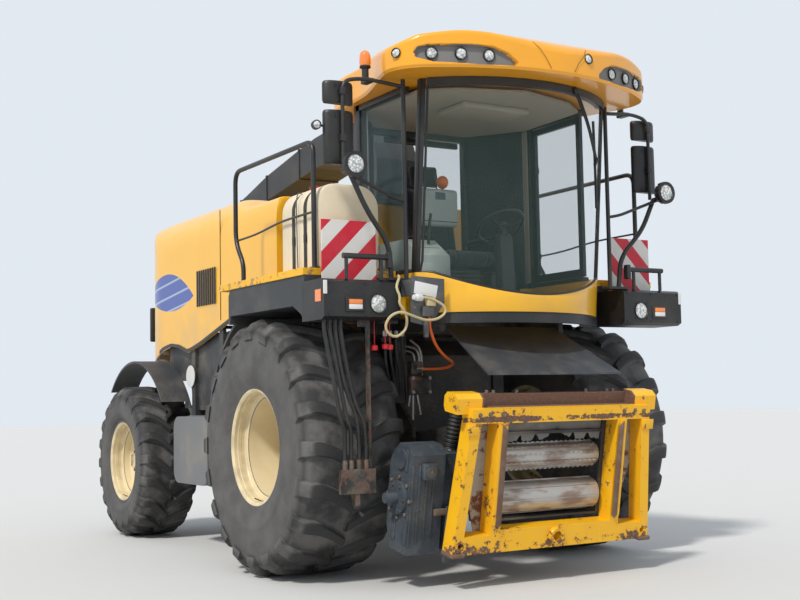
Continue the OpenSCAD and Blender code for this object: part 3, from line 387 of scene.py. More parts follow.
def make_finishes():
    """Makes all finishes; a row of paints holds the colour, roughness, dust and what else painted() takes."""
    c = colours()
    paints = {
        "body_yellow": (c.body, 0.28, 0.3, dict(coat=0.5, clean_above=2.6)),
        "roof_yellow": (c.roof, 0.26, 0.12, dict(coat=0.4)),
        "deck_yellow": (c.body, 0.42, 0.5, dict(wear=0.5)),
        "pale_plate": ((0.36, 0.36, 0.33), 0.55, 0.5, dict(wear=0.3, worn=RUST)),
        "rusty_steel": ((0.16, 0.085, 0.055), 0.75, 0.4, dict(grain=0.0008, dust_scale=9.0)),
        "rim_nuts": ((0.20, 0.15, 0.11), 0.5, 0.4, dict(metallic=0.5, wear=0.4, worn=RUST)),
        "bracket_grey": ((0.085, 0.088, 0.092), 0.45, 0.5, dict(dust_scale=14.0, metallic=0.3)),
        "frame_paint": ((0.030, 0.031, 0.034), 0.5, 0.55),
        "iron": ((0.045, 0.047, 0.050), 0.55, 0.5, dict(wear=0.4, worn=RUST, dust_scale=6.0)),
        # The next finish is oily iron and also the painted shade that fills the rims' hand holes.
        "oily_iron": ((0.020, 0.019, 0.018), 0.32, 0.45, dict(wear=0.5, worn=(0.10, 0.09, 0.08), dust_scale=8.0)),
        "black_trim": ((0.012, 0.012, 0.013), 0.38, 0.16, dict(grain=0.0004)),
        "satin_tube": ((0.016, 0.017, 0.019), 0.34, 0.2),
        "fender_plastic": (c.plastic, 0.55, 0.35, dict(grain=0.0006)),
        "cover_slate": ((0.040, 0.047, 0.057), 0.42, 0.35, dict(dust_scale=7.0, clean_above=1.9)),
        "tank_cream": (c.tank, 0.45, 0.35, dict(grain=0.0005, clean_above=3.2)),
        "tank_grey": ((0.16, 0.165, 0.17), 0.5, 0.45, dict(grain=0.0006)),
        "spout_black": ((0.022, 0.024, 0.028), 0.42, 0.3, dict(clean_above=4.0)),
        "steel": (STEEL, 0.32, 0.3, dict(metallic=0.9)),
        "hose_rubber": ((0.014, 0.014, 0.015), 0.48, 0.25, dict(grain=0.0005)),
        "red_cap": ((0.55, 0.012, 0.018), 0.35, 0.1),
        "orange_plastic": ((0.80, 0.17, 0.015), 0.35, 0.05),
        "orange_hose": ((0.72, 0.12, 0.015), 0.4, 0.1),
        "line_grey": ((0.10, 0.10, 0.10), 0.4, 0.1),
        "recess_grey": ((0.19, 0.185, 0.18), 0.45, 0.1, dict(grain=0.0004)),
        "headliner": ((0.42, 0.38, 0.31), 0.8, 0.05, dict(grain=0.0006)),
        "console_grey": ((0.36, 0.42, 0.40), 0.5, 0.05, dict(grain=0.0004)),
        "curtain": ((0.17, 0.17, 0.165), 0.75, 0.6, dict(grain=0.0008, dust_scale=9.0)),
        "bare_plate": ((0.72, 0.72, 0.70), 0.4, 0.2),
        "cable_cream": ((0.55, 0.45, 0.24), 0.5, 0.15),
    }
    for name, (colour, roughness, dust, *more) in paints.items():
        FINISHES[name] = painted(name, tuple(colour), roughness, dust, **(more[0] if more else {}))
    lenses = {
        "lens": ((0.80, 0.83, 0.81), 0.0, 0.42, 0.0012),
        "amber": ((0.80, 0.20, 0.01), 0.15, 0.90, 0.0003),
        "white_lens": ((0.72, 0.74, 0.72), 0.0, 0.95, 0.0003),
        "red_lens": ((0.50, 0.01, 0.01), 0.0, 0.90, 0.0003),
    }
    for name, values in lenses.items():
        FINISHES[name] = lens_finish(name, *values)
    for name, tint, alpha in (("windscreen_glass", (0.10, 0.17, 0.15), 0.10), ("side_glass", (0.10, 0.17, 0.18), 0.13)):
        FINISHES[name] = Finish(name, base_color=tint, roughness=0.03, alpha=alpha, ior=1.45, specular_ior_level=0.5)
    for make in (chipped_yellow, gearbox_casting, hood_paint, stripes, ribbed_steel, seat_cloth):
        FINISHES[make.__name__] = make(make.__name__)
    plain = {
        "chrome": dict(base_color=(0.75, 0.75, 0.76), metallic=1.0, roughness=0.12),
        "screen_glass": dict(base_color=(0.02, 0.04, 0.05), roughness=0.12, coat_weight=0.5),
        "mirror_glass": dict(base_color=(0.8, 0.82, 0.84), metallic=1.0, roughness=0.04),
    }
    for name, values in plain.items():
        FINISHES[name] = Finish(name, **values)
    for end, axle, tyre, hub, edge in (("front", AXLE, 0.9265, 0.20, 0.40), ("rear", REAR_AXLE, 0.7065, 0.11, 0.35)):
        FINISHES[end + "_rubber"] = tyre_rubber(end + "_rubber", axle, tyre - sizes().lug_height)
        FINISHES[end + "_rim_paint"] = rim_paint(end + "_rim_paint", axle, hub, edge)


# Mesh helpers


# The radius at which a turned profile ends on its axis, how close points are when they merge, and the turn
# beyond which an edge is softened
ON_AXIS = 0.0001
TIGHT = 0.00002
SHARP = math.radians(40)
TURNS = {"X": lambda u, c, s: (u, c, s), "Y": lambda u, c, s: (c, u, s), "Z": lambda u, c, s: (c, s, u)}


def to_object(mesh, name, finishes, nodes="", angle=35, body="chassis"):
    """Links a mesh as a finished piece that rides on a body and stands for CAD nodes; names are parted by blanks."""
    if mesh.materials:
        mesh.materials.clear()
    for key in finishes.split():
        mesh.materials.append(finish(key))
    mesh.shade_smooth()
    mesh.set_sharp_from_angle(angle=math.radians(angle))
    piece = bpy.data.objects.new(name, mesh)
    bpy.context.scene.collection.objects.link(piece)
    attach(piece, body)
    if nodes:
        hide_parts(*nodes.split())
    return piece


def baked(mesh, prepare, frames=0):
    """The mesh as the modifiers leave it that prepare(carrier) gives it, after some frames of simulation."""
    scene = bpy.context.scene
    carrier = bpy.data.objects.new(mesh.name, mesh)
    scene.collection.objects.link(carrier)
    prepare(carrier)
    for number in range(1, frames + 1):
        scene.frame_set(number)
    bpy.context.view_layer.update()
    result = bpy.data.meshes.new_from_object(carrier.evaluated_get(bpy.context.evaluated_depsgraph_get()))
    bpy.data.objects.remove(carrier)
    if frames:
        scene.frame_set(1)
    return result


def around(count, shift=0.0):
    """Cosine and sine of angles spread evenly over a turn, the first one shifted by a part of a step."""
    return [(math.cos(a), math.sin(a)) for a in (2 * math.pi * (k + shift) / count for k in range(count))]


def moved(x, y, z):
    return Matrix.Translation((x, y, z))


def turned_by(degrees, axis):
    return Matrix.Rotation(math.radians(degrees), 4, axis)


def aimed(centre, direction):
    """Places a form drawn about Z at a centre, its top towards a direction."""
    return Matrix.Translation(centre) @ Vector(direction).to_track_quat("Z", "Y").to_matrix().to_4x4()


def spots(*points, side=1):
    """Points given as for at(), x on one side."""
    return [at(side * x, y, z) for x, y, z in points]


class Shape:
    """Collects forms into one mesh; mark is the index of a form's finish."""

    def __init__(self):
        self.mesh = bmesh.new()
        self.matrix = Matrix()

    def faces(self, points, faces, mark=0):
        verts = [self.mesh.verts.new(self.matrix @ Vector(p)) for p in points]
        made = []
        for face in faces:
            try:
                made.append(self.mesh.faces.new([verts[i] for i in face]))
            except ValueError:
                continue
        for face in made:
            face.material_index = mark
        return made

    def rings(self, rings, mark=0, closed=True, caps=True):
        """Skin through rings of as many points each."""
        count = len(rings[0])
        across = count if closed else count - 1
        faces = [[i * count + k, i * count + (k + 1) % count, (i + 1) * count + (k + 1) % count, (i + 1) * count + k]
                 for i in range(len(rings) - 1) for k in range(across)]
        if caps:
            faces += [list(range(count)), [(len(rings) - 1) * count + k for k in range(count)]]
        return self.faces([p for ring in rings for p in ring], faces, mark)

    def lathe(self, profile, centre, steps=64, mark=0, axis="X"):
        """Turns a closed profile of (along, radius) round a line through centre."""
        rings = [[Vector(centre) + Vector(TURNS[axis](u, r * c, r * s)) for u, r in profile] for c, s in around(steps)]
        return self.rings(rings + rings[:1], mark, caps=False)

    def turned(self, profile, place, steps=32, mark=0, top=None, solid=True):
        """Turns a profile round the Z axis of a place; a solid's ends go to the axis, the last one at top if given."""
        before, self.matrix = self.matrix, self.matrix @ place
        if solid:
            profile = [(profile[0][0], ON_AXIS), *profile, (profile[-1][0] if top is None else top, ON_AXIS)]
        self.lathe(profile, (0, 0, 0), steps, mark, "Z")
        self.matrix = before

    def disc(self, place, radius, thick, steps=32, mark=0):
        """A short round form with a small rounded edge, drawn up from a place."""
        e = min(thick, radius) * 0.15
        self.turned([(0, radius - e), (e, radius), (thick - e, radius), (thick, radius - e)], place, steps, mark)

    def tube(self, path, radius, mark=0, sides=12, radii=None):
        """A round tube through a list of points."""
        points = [Vector(p) for p in path]
        rings = []
        previous = None
        for i, p in enumerate(points):
            ahead = (points[min(i + 1, len(points) - 1)] - points[max(i - 1, 0)]).normalized()
            if previous is None:
                side = ahead.orthogonal().normalized()
            else:
                side = (previous - ahead * previous.dot(ahead)).normalized()
            previous = side
            other = ahead.cross(side)
            r = radii[i] if radii else radius
            rings.append([p + (side * math.cos(a) + other * math.sin(a)) * r
                          for a in (2 * math.pi * k / sides for k in range(sides))])
        return self.rings(rings, mark)

    def block(self, low, high, mark=0):
        x, y, z = zip(low, high)
        points = [(x[i], y[j], z[k]) for k in (0, 1) for j in (0, 1) for i in (0, 1)]
        return self.faces(points, [(0, 2, 3, 1), (4, 5, 7, 6), (0, 1, 5, 4), (2, 6, 7, 3), (0, 4, 6, 2), (1, 3, 7, 5)],
                          mark)

    def soft_block(self, low, high, radius, mark=0, steps=4):
        """A block with rounded edges."""
        faces = self.block(low, high, mark)
        edges = {e for f in faces for e in f.edges}
        bmesh.ops.bevel(self.mesh, geom=list(edges), offset=radius, segments=steps, affect="EDGES", profile=0.5,
                        material=mark)

    def pairs(self, *rows):
        """Rounded blocks on both sides: rows of x, half width, two y, two z, edge radius, mark and steps."""
        for x, half, y0, y1, z0, z1, radius, mark, steps in rows:
            for _, s in SIDES:
                self.soft_block(at(s * x - half, y0, z0), at(s * x + half, y1, z1), radius, mark, steps)

    def prism(self, outline, start, end, axis="X", mark=0):
        """A flat outline made thick along an axis; the outline's points are the other two axes in order."""
        return self.rings([[TURNS[axis](t, a, b) for a, b in outline] for t in (start, end)], mark)

    def sheet(self, rows, thick, mark=0, wrap=False):
        """A wall of some thickness from a grid of points, closed at its edges; returns its first faces.

        A wrapped sheet goes round, and its last row lies folded together, so it needs no edge there."""
        grid = [[Vector(p) for p in row] for row in rows]
        tall, count = len(grid), len(grid[0])
        across = count if wrap else count - 1
        back = []
        for i, row in enumerate(grid):
            line = []
            for k, p in enumerate(row):
                up = grid[min(i + 1, tall - 1)][k] - grid[max(i - 1, 0)][k]
                over = row[(k + 1) % count] - row[k - 1] if wrap else row[min(k + 1, count - 1)] - row[max(k - 1, 0)]
                normal = up.cross(over)
                normal = normal.normalized() if normal.length > 1e-10 else Vector((0, 0, 1))
                line.append(p - normal * thick)
            back.append(line)
        size = tall * count
        front_faces = [(i * count + k, i * count + (k + 1) % count, (i + 1) * count + (k + 1) % count,
                        (i + 1) * count + k) for i in range(tall - 1) for k in range(across)]
        others = [tuple(size + v for v in reversed(face)) for face in front_faces]
        for i in ((0,) if wrap else (0, tall - 1)):
            for k in range(across):
                a, b = i * count + k, i * count + (k + 1) % count
                others.append((a, b, b + size, a + size))
        if not wrap:
            for k in (0, count - 1):
                for i in range(tall - 1):
                    a, b = i * count + k, (i + 1) * count + k
                    others.append((a, b, b + size, a + size))
        made = self.faces([p for row in grid + back for p in row], front_faces + others, mark)
        return made[:len(front_faces)]

    def closed_mesh(self, name, bevel=0.0):
        """The collected forms as one clean mesh with its faces outwards and, where asked, softened edges."""
        form = self.mesh
        bmesh.ops.remove_doubles(form, verts=form.verts, dist=TIGHT)
        bmesh.ops.delete(form, geom=[v for v in form.verts if not v.link_faces], context="VERTS")
        bmesh.ops.recalc_face_normals(form, faces=form.faces)
        if bevel:
            sharp = [e for e in form.edges if e.is_manifold and e.calc_face_angle(0) > SHARP]
            bmesh.ops.bevel(form, geom=sharp, offset=bevel, segments=2, affect="EDGES", profile=0.5, clamp_overlap=True)
        mesh = bpy.data.meshes.new(name)
        form.to_mesh(mesh)
        form.free()
        return mesh

    def piece(self, name, finishes, nodes="", slot=None, angle=35, bevel=0.0, body="chassis"):
        return to_object(self.closed_mesh(name, bevel), name, finishes, nodes, angle, body)


def bent(points, radius, steps=6):
    """A route with its corners rounded."""
    points = [Vector(p) for p in points]
    route = [points[0]]
    for before, corner, after in zip(points, points[1:], points[2:]):
        cut = min(radius, (before - corner).length * 0.45, (after - corner).length * 0.45)
        a = corner + (before - corner).normalized() * cut
        b = corner + (after - corner).normalized() * cut
        for k in range(steps + 1):
            t = k / steps
            route.append(a * (1 - t) ** 2 + corner * 2 * t * (1 - t) + b * t * t)
    route.append(points[-1])
    return route


def polar_copies(mesh, name, count, material):
    """Repeats a mesh count times round the X axis by Geometry Nodes and returns one plain mesh."""
    tree = bpy.data.node_groups.new(name, "GeometryNodeTree")
    tree.interface.new_socket("Form", in_out="INPUT", socket_type="NodeSocketGeometry")
    copies = tree.interface.new_socket("Copies", in_out="INPUT", socket_type="NodeSocketInt")
    tree.interface.new_socket("Ring", in_out="OUTPUT", socket_type="NodeSocketGeometry")
    nodes, links = tree.nodes, tree.links
    start, end = nodes.new("NodeGroupInput"), nodes.new("NodeGroupOutput")
    points = nodes.new("GeometryNodePoints")
    place = nodes.new("GeometryNodeInstanceOnPoints")
    index = nodes.new("GeometryNodeInputIndex")
    step = nodes.new("ShaderNodeMath")
    step.operation = "DIVIDE"
    step.inputs[0].default_value = 2 * math.pi
    angle = nodes.new("ShaderNodeMath")
    angle.operation = "MULTIPLY"
    turn = nodes.new("ShaderNodeCombineXYZ")
    real = nodes.new("GeometryNodeRealizeInstances")
    paint = nodes.new("GeometryNodeSetMaterial")
    paint.inputs["Material"].default_value = material
    for a, b in ((start.outputs["Copies"], points.inputs["Count"]), (points.outputs[0], place.inputs["Points"]),
                 (start.outputs["Form"], place.inputs["Instance"]), (start.outputs["Copies"], step.inputs[1]),
                 (step.outputs[0], angle.inputs[0]), (index.outputs[0], angle.inputs[1]),
                 (angle.outputs[0], turn.inputs["X"]), (turn.outputs[0], place.inputs["Rotation"]),
                 (place.outputs[0], real.inputs[0]), (real.outputs[0], paint.inputs["Geometry"]),
                 (paint.outputs[0], end.inputs[0])):
        links.new(a, b)

    def copy_round(carrier):
        modifier = carrier.modifiers.new("Ring", "NODES")
        modifier.node_group = tree
        modifier[copies.identifier] = count

    return baked(mesh, copy_round)


def polish(node, material, bevel=0.0):
    """Gives a CAD node its material and, where asked, softly rounded edges."""
    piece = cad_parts[node]
    piece.data.materials.clear()
    piece.data.materials.append(finish(material))
    if bevel:
        weld = piece.modifiers.new("Weld", "WELD")
        weld.merge_threshold = TIGHT
        soft = piece.modifiers.new("Bevel", "BEVEL")
        soft.width = bevel
        soft.segments = 2
        soft.limit_method = "ANGLE"
        soft.angle_limit = SHARP
        soft.harden_normals = False
        soft.use_clamp_overlap = True


# Operators, one for each group of pieces


class CadFinishes(bpy.types.Operator):
    """Gives the CAD nodes that stay in view their finishes."""
    bl_idname = "harvester.cad_finishes"
    bl_label = "CAD finishes"

    def execute(self, context):
        table = {
            "frame_paint": "chassis_frame crop_duct cab_mounts hood_posts side_panels turret_base spout_turret ladder "
                           "intake_housing",
            "oily_iron": "hose_coupler",
            "iron": "front_axle rear_axle knuckle_right knuckle_left tow_hitch lift_barrels spout_barrel engine_block",
            "gearbox_casting": "header_gearbox",
            "body_yellow": "cab_base",
            "deck_yellow": "decks",
            "black_trim": "cab_door light_boxes rear_door",
            "fender_plastic": "front_fenders rear_mudguards",
            "tank_grey": "fuel_tanks",
            "chipped_yellow": "header_frame",
            "cover_slate": "intake_cover",
            "ribbed_steel": "upper_roll lower_roll",
            "chrome": "lift_rods spout_rod",
            "spout_black": "spout spout_flap",
            "stripes": "warning_panels",
            "side_glass": "cab_glass cab_door_glass",
        }
        soft = {"light_boxes": 0.014, "front_fenders": 0.008, "intake_cover": 0.004, "side_panels": 0.006,
                "header_frame": 0.004, "header_gearbox": 0.009, "cab_base": 0.003, "fuel_tanks": 0.02, "spout": 0.004,
                "hose_coupler": 0.005, "decks": 0.003, "warning_panels": 0.002, "cab_door": 0.005, "ladder": 0.002}
        for material, nodes in table.items():
            for node in nodes.split():
                polish(node, material, soft.get(node, 0.0))
        return {"FINISHED"}


class Stage(bpy.types.Operator):
    """Makes the pale floor, the soft lights and the camera at the photograph's place."""
    bl_idname = "harvester.stage"
    bl_label = "Stage"

    def execute(self, context):
        floor = Finish("floor", roughness=0.85)
        floor.set(base_color=floor.mix(floor.noise(1.5) * 0.4, (0.62, 0.62, 0.61), (0.58, 0.58, 0.57)))
        mesh = bpy.data.meshes.new("floor")
        reach = 60
        mesh.from_pydata([(-reach, -reach, 0), (reach, -reach, 0), (reach, reach, 0), (-reach, reach, 0)], [],
                         [(0, 1, 2, 3)])
        mesh.materials.append(floor.material)
        ground = bpy.data.objects.new("floor", mesh)
        context.scene.collection.objects.link(ground)

        world = bpy.data.worlds.new("studio")
        world.use_nodes = True
        nodes, links = world.node_tree.nodes, world.node_tree.links
        nodes.clear()
        light, seen = nodes.new("ShaderNodeBackground"), nodes.new("ShaderNodeBackground")
        light.inputs[0].default_value = (0.86, 0.92, 1.0, 1)
        light.inputs[1].default_value = 0.75
        seen.inputs[0].default_value = (0.80, 0.86, 0.93, 1)
        seen.inputs[1].default_value = 0.95
        path, mixer = nodes.new("ShaderNodeLightPath"), nodes.new("ShaderNodeMixShader")
        direct, output = nodes.new("ShaderNodeMath"), nodes.new("ShaderNodeOutputWorld")
        direct.operation = "MAXIMUM"
        links.new(path.outputs["Is Camera Ray"], direct.inputs[0])
        links.new(path.outputs["Is Glossy Ray"], direct.inputs[1])
        links.new(direct.outputs[0], mixer.inputs[0])
        links.new(light.outputs[0], mixer.inputs[1])
        links.new(seen.outputs[0], mixer.inputs[2])
        links.new(mixer.outputs[0], output.inputs[0])
        context.scene.world = world
        context.scene.view_settings.view_transform = "Standard"

        sun = bpy.data.lights.new("sun", "SUN")
        sun.energy = 2.6
        sun.angle = math.radians(6)
        sun.color = (1.0, 0.96, 0.90)
        lamp = bpy.data.objects.new("sun", sun)
        lamp.rotation_euler = Vector((-0.75, -0.45, 1.0)).to_track_quat("Z", "Y").to_euler()
        context.scene.collection.objects.link(lamp)

        yaw, pitch, roll = (math.radians(a) for a in (-31.24, 4.49, -1.07))
        ahead = Vector((-math.sin(yaw) * math.cos(pitch), math.cos(yaw) * math.cos(pitch), math.sin(pitch)))
        level = Vector((math.cos(yaw), math.sin(yaw), 0))
        over = level.cross(ahead)
        right = level * math.cos(roll) + over * math.sin(roll)
        up = over * math.cos(roll) - level * math.sin(roll)
        turn = Matrix((right, up, -ahead)).transposed().to_4x4()
        camera = bpy.data.cameras.new("camera")
        focal_pixels, photo_width = 1229, 800
        camera.sensor_width = 36
        camera.lens = camera.sensor_width * focal_pixels / photo_width
        viewer = bpy.data.objects.new("camera", camera)
        viewer.matrix_world = Matrix.Translation(at(-5.27, -8.15, 1.27)) @ turn
        context.scene.collection.objects.link(viewer)
        context.scene.camera = viewer
        return {"FINISHED"}


def lug_profile(width, radius):
    """Stations of one lug from the tread's middle to the shoulder: (along, angle lead, half width, top radius)."""
    stations = []
    drawn = 0.926
    for k in range(9):
        s = k / 8
        along = width * (-0.015 + 0.515 * s)
        lead = -0.165 * math.sin(min(s * 1.25, 1) * math.pi / 2) * (drawn / radius)
        crown = 0.010 * s * s
        shoulder = max(0, s - 0.72) / 0.28
        top = radius - crown - 0.075 * shoulder * shoulder
        half = 0.030 + 0.012 * s + 0.004 * shoulder
        stations.append((along, lead, half * radius / drawn, top))
    return stations


def lug_mesh(width, radius, depth, name):
    """One pair of lugs, outer and inner, half a pitch apart, drawn about the X axis."""
    pitch = 2 * math.pi / sizes().lug_count
    shape = Shape()
    for side, shift in ((1, 0.0), (-1, pitch / 2)):
        rings = []
        for i, (along, lead, half, top) in enumerate(lug_profile(width, radius)):
            foot = radius - depth - 0.012 - (0.09 if i > 5 else 0.0) * (i - 5) / 3
            ring = []
            for offset, height in ((-half - 0.020, foot), (-half - 0.006, top - 0.010), (-half, top - 0.002),
                                   (-half * 0.5, top), (half * 0.5, top), (half, top - 0.002),
                                   (half + 0.006, top - 0.010), (half + 0.020, foot)):
                a = lead + offset / height + shift
                ring.append((side * along, height * math.cos(a), height * math.sin(a)))
            rings.append(ring)
        shape.rings(rings)
    return shape.closed_mesh(name)


class Tyres(bpy.types.Operator):
    """Builds the tyres: a turned carcass with sidewall rings, and bent lugs laid round it."""
    bl_idname = "harvester.tyres"
    bl_label = "Tyres"

    def execute(self, context):
        depth = sizes().lug_height
        for end, bead, rim_half in (("front", 0.410, 0.343), ("rear", 0.359, 0.2285)):
            for side, sign in SIDES:
                node = f"{end}_tyre_{side}"
                low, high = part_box(node)
                centre = (low + high) / 2
                width, radius = high.x - low.x, (high.z - low.z) / 2
                tread = radius - depth
                wall = tread - bead
                half = width / 2
                outer = [(rim_half, bead), (rim_half + 0.012, bead + 0.012), (rim_half + 0.010, bead + 0.035),
                         (rim_half * 0.4 + half * 0.6, bead + 0.10 * wall + 0.02), (half * 0.978, bead + 0.30 * wall),
                         (half * 0.990, bead + 0.36 * wall), (half * 0.990, bead + 0.385 * wall),
                         (half * 0.984, bead + 0.40 * wall), (half * 0.998, bead + 0.50 * wall),
                         (half * 0.990, bead + 0.66 * wall), (half * 0.965, bead + 0.80 * wall),
                         (half * 0.90, bead + 0.925 * wall), (half * 0.80, tread - 0.010), (half * 0.55, tread),
                         (half * 0.2, tread + 0.002)]
                inner = [(-half * 0.75, tread - 0.05), (-half * 0.92, tread - 0.15), (-half * 0.92, bead + 0.1),
                         (-rim_half + 0.03, bead)]
                profile = outer + [(-u, r) for u, r in reversed(outer)] + \
                    [(u, r) for u, r in reversed(inner)] + [(-u, r) for u, r in inner]
                carcass = Shape()
                carcass.lathe(profile, centre, 96)
                carcass.piece(f"{node}_carcass", end + "_rubber", node, "tyre_rubber", 50, body=f"{end}_wheel_{side}")
                lugs = polar_copies(lug_mesh(width, radius, depth, f"{node}_lug"), f"{node}_lugs",
                                    sizes().lug_count, finish(end + "_rubber"))
                lugs.transform(Matrix.Translation(centre))
                to_object(lugs, f"{node}_lugs", end + "_rubber", "", 30, f"{end}_wheel_{side}")
        return {"FINISHED"}


def blend_min(a, b, soft):
    """The smaller of two numbers, with a soft change from one to the other."""
    near = max(soft - abs(a - b), 0) / soft
    return min(a, b) - near * near * soft / 4


def along_points(points, t):
    """Value at t on a line through (t, value) points."""
    for (t0, v0), (t1, v1) in zip(points, points[1:]):
        if t <= t1:
            return v0 + (v1 - v0) * max(t - t0, 0) / (t1 - t0)
    return points[-1][1]


def corner_cut(loop, times, keep=0.25):
    """Rounds a closed loop of points by cutting its corners a number of times."""
    loop = [Vector(p) for p in loop]
    for _ in range(times):
        loop = [q for a, b in zip(loop, loop[1:] + loop[:1]) for q in (a.lerp(b, keep), a.lerp(b, 1 - keep))]
    return loop


def spaced(loop, step, front_step=0.0, front=0.0):
    """The same closed loop with its points a step apart, or a finer one where y is below front."""
    dense = []
    for a, b in zip(loop, loop[1:] + loop[:1]):
        count = max(1, round((b - a).length / (front_step if front_step and a.y + b.y < front * 2 else step)))
        dense += [a.lerp(b, k / count) for k in range(count)]
    return dense


def moulded_rows(plan, spine, height, base, edge, walls=10, shrink=None):
    """Rows of a moulded shell: walls up from base(p) along a closed plan, then a top at height(x, y) to the spine."""
    def top(p):
        return height(p.x, p.y)
    rows = []
    top_rows, spread = 25, 1.9
    for i in range(walls + 1):
        row = []
        for p in plan:
            low, high = base(p), top(p) - edge
            z = low + (high - low) * i / walls
            q = shrink(p, z) if shrink else p
            row.append(at(q.x, q.y, z))
        rows.append(row)
    for i in range(1, top_rows + 1):
        row = []
        for p in plan:
            foot = Vector((0, min(max(p.y, spine[0]), spine[1])))
            reach = (foot - p).length
            t = (i / top_rows) ** spread
            q = p.lerp(foot, t)
            away = min(reach * t, edge)
            row.append(at(q.x, q.y, top(q) - edge + math.sqrt(edge * edge - (edge - away) ** 2)))
        rows.append(row)
    return rows


def cut_with(mesh, tool):
    """The mesh with a collected shape cut out of it."""
    cutter = bpy.data.objects.new("cutter", tool.closed_mesh("cutter"))
    bpy.context.scene.collection.objects.link(cutter)

    def cut(carrier):
        boolean = carrier.modifiers.new("Cut", "BOOLEAN")
        boolean.operation = "DIFFERENCE"
        boolean.object = cutter

    result = baked(mesh, cut)
    bpy.data.objects.remove(cutter)
    return result


# The intake's parts count y and z from its pivot and hang turned by its droop
INTAKE_PIVOT = at(0, -0.35, 0.95)
INTAKE_TURN = Matrix.Translation(INTAKE_PIVOT) @ turned_by(10, "X")


def round_lamp(shape, centre, direction, radius, depth=0.02, bolts=0):
    """A lamp with a bezel ring, a fluted lens and, if asked, bolts round it."""
    place, r = aimed(centre, direction), radius
    shape.turned([(-depth, r * 0.84), (-depth, r * 0.98), (0.0, r), (0.006, r * 0.985), (0.007, r * 0.93),
                  (0.001, r * 0.88), (-0.004, r * 0.86)], place, 40, solid=False)
    shape.turned([(-depth, r * 0.86), (-0.002, r * 0.88), (0.004, r * 0.70), (0.0075, r * 0.35)], place, 40, 1, 0.009)
    for c, s in around(bolts, 0.5):
        shape.disc(place @ moved(r * 1.22 * c, r * 1.22 * s, -0.002), 0.006, 0.006, 10)


def bolt_heads(shape, places, direction, radius, height, mark=0):
    """Hexagon heads with a washer at each place."""
    for p in places:
        place = aimed(p, direction)
        shape.disc(place, radius * 1.35, height * 0.3, 16, mark)
        shape.turned([(0, radius), (height * 0.9, radius), (height, radius * 0.88)], place, 6, mark)


def smooth_route(points, count):
    """Points evenly along a soft curve through the given ones."""
    points = [Vector(p) for p in points]
    ends = [points[0] * 2 - points[1]] + points + [points[-1] * 2 - points[-2]]
    dense, fine = [], 16
    for a, b, c, d in zip(ends, ends[1:], ends[2:], ends[3:]):
        for k in range(fine):
            t = k / fine
            dense.append(((b * 2) + (c - a) * t + (a * 2 - b * 5 + c * 4 - d) * t * t
                          + (b * 3 - a - c * 3 + d) * t * t * t) / 2)
    dense.append(points[-1])
    lengths = [0.0]
    for a, b in zip(dense, dense[1:]):
        lengths.append(lengths[-1] + (b - a).length)
    route, place = [], 0
    for k in range(count):
        goal = lengths[-1] * k / (count - 1)
        while place < len(dense) - 2 and lengths[place + 1] < goal:
            place += 1
        step = lengths[place + 1] - lengths[place]
        route.append(dense[place].lerp(dense[place + 1], (goal - lengths[place]) / step if step else 0))
    return route


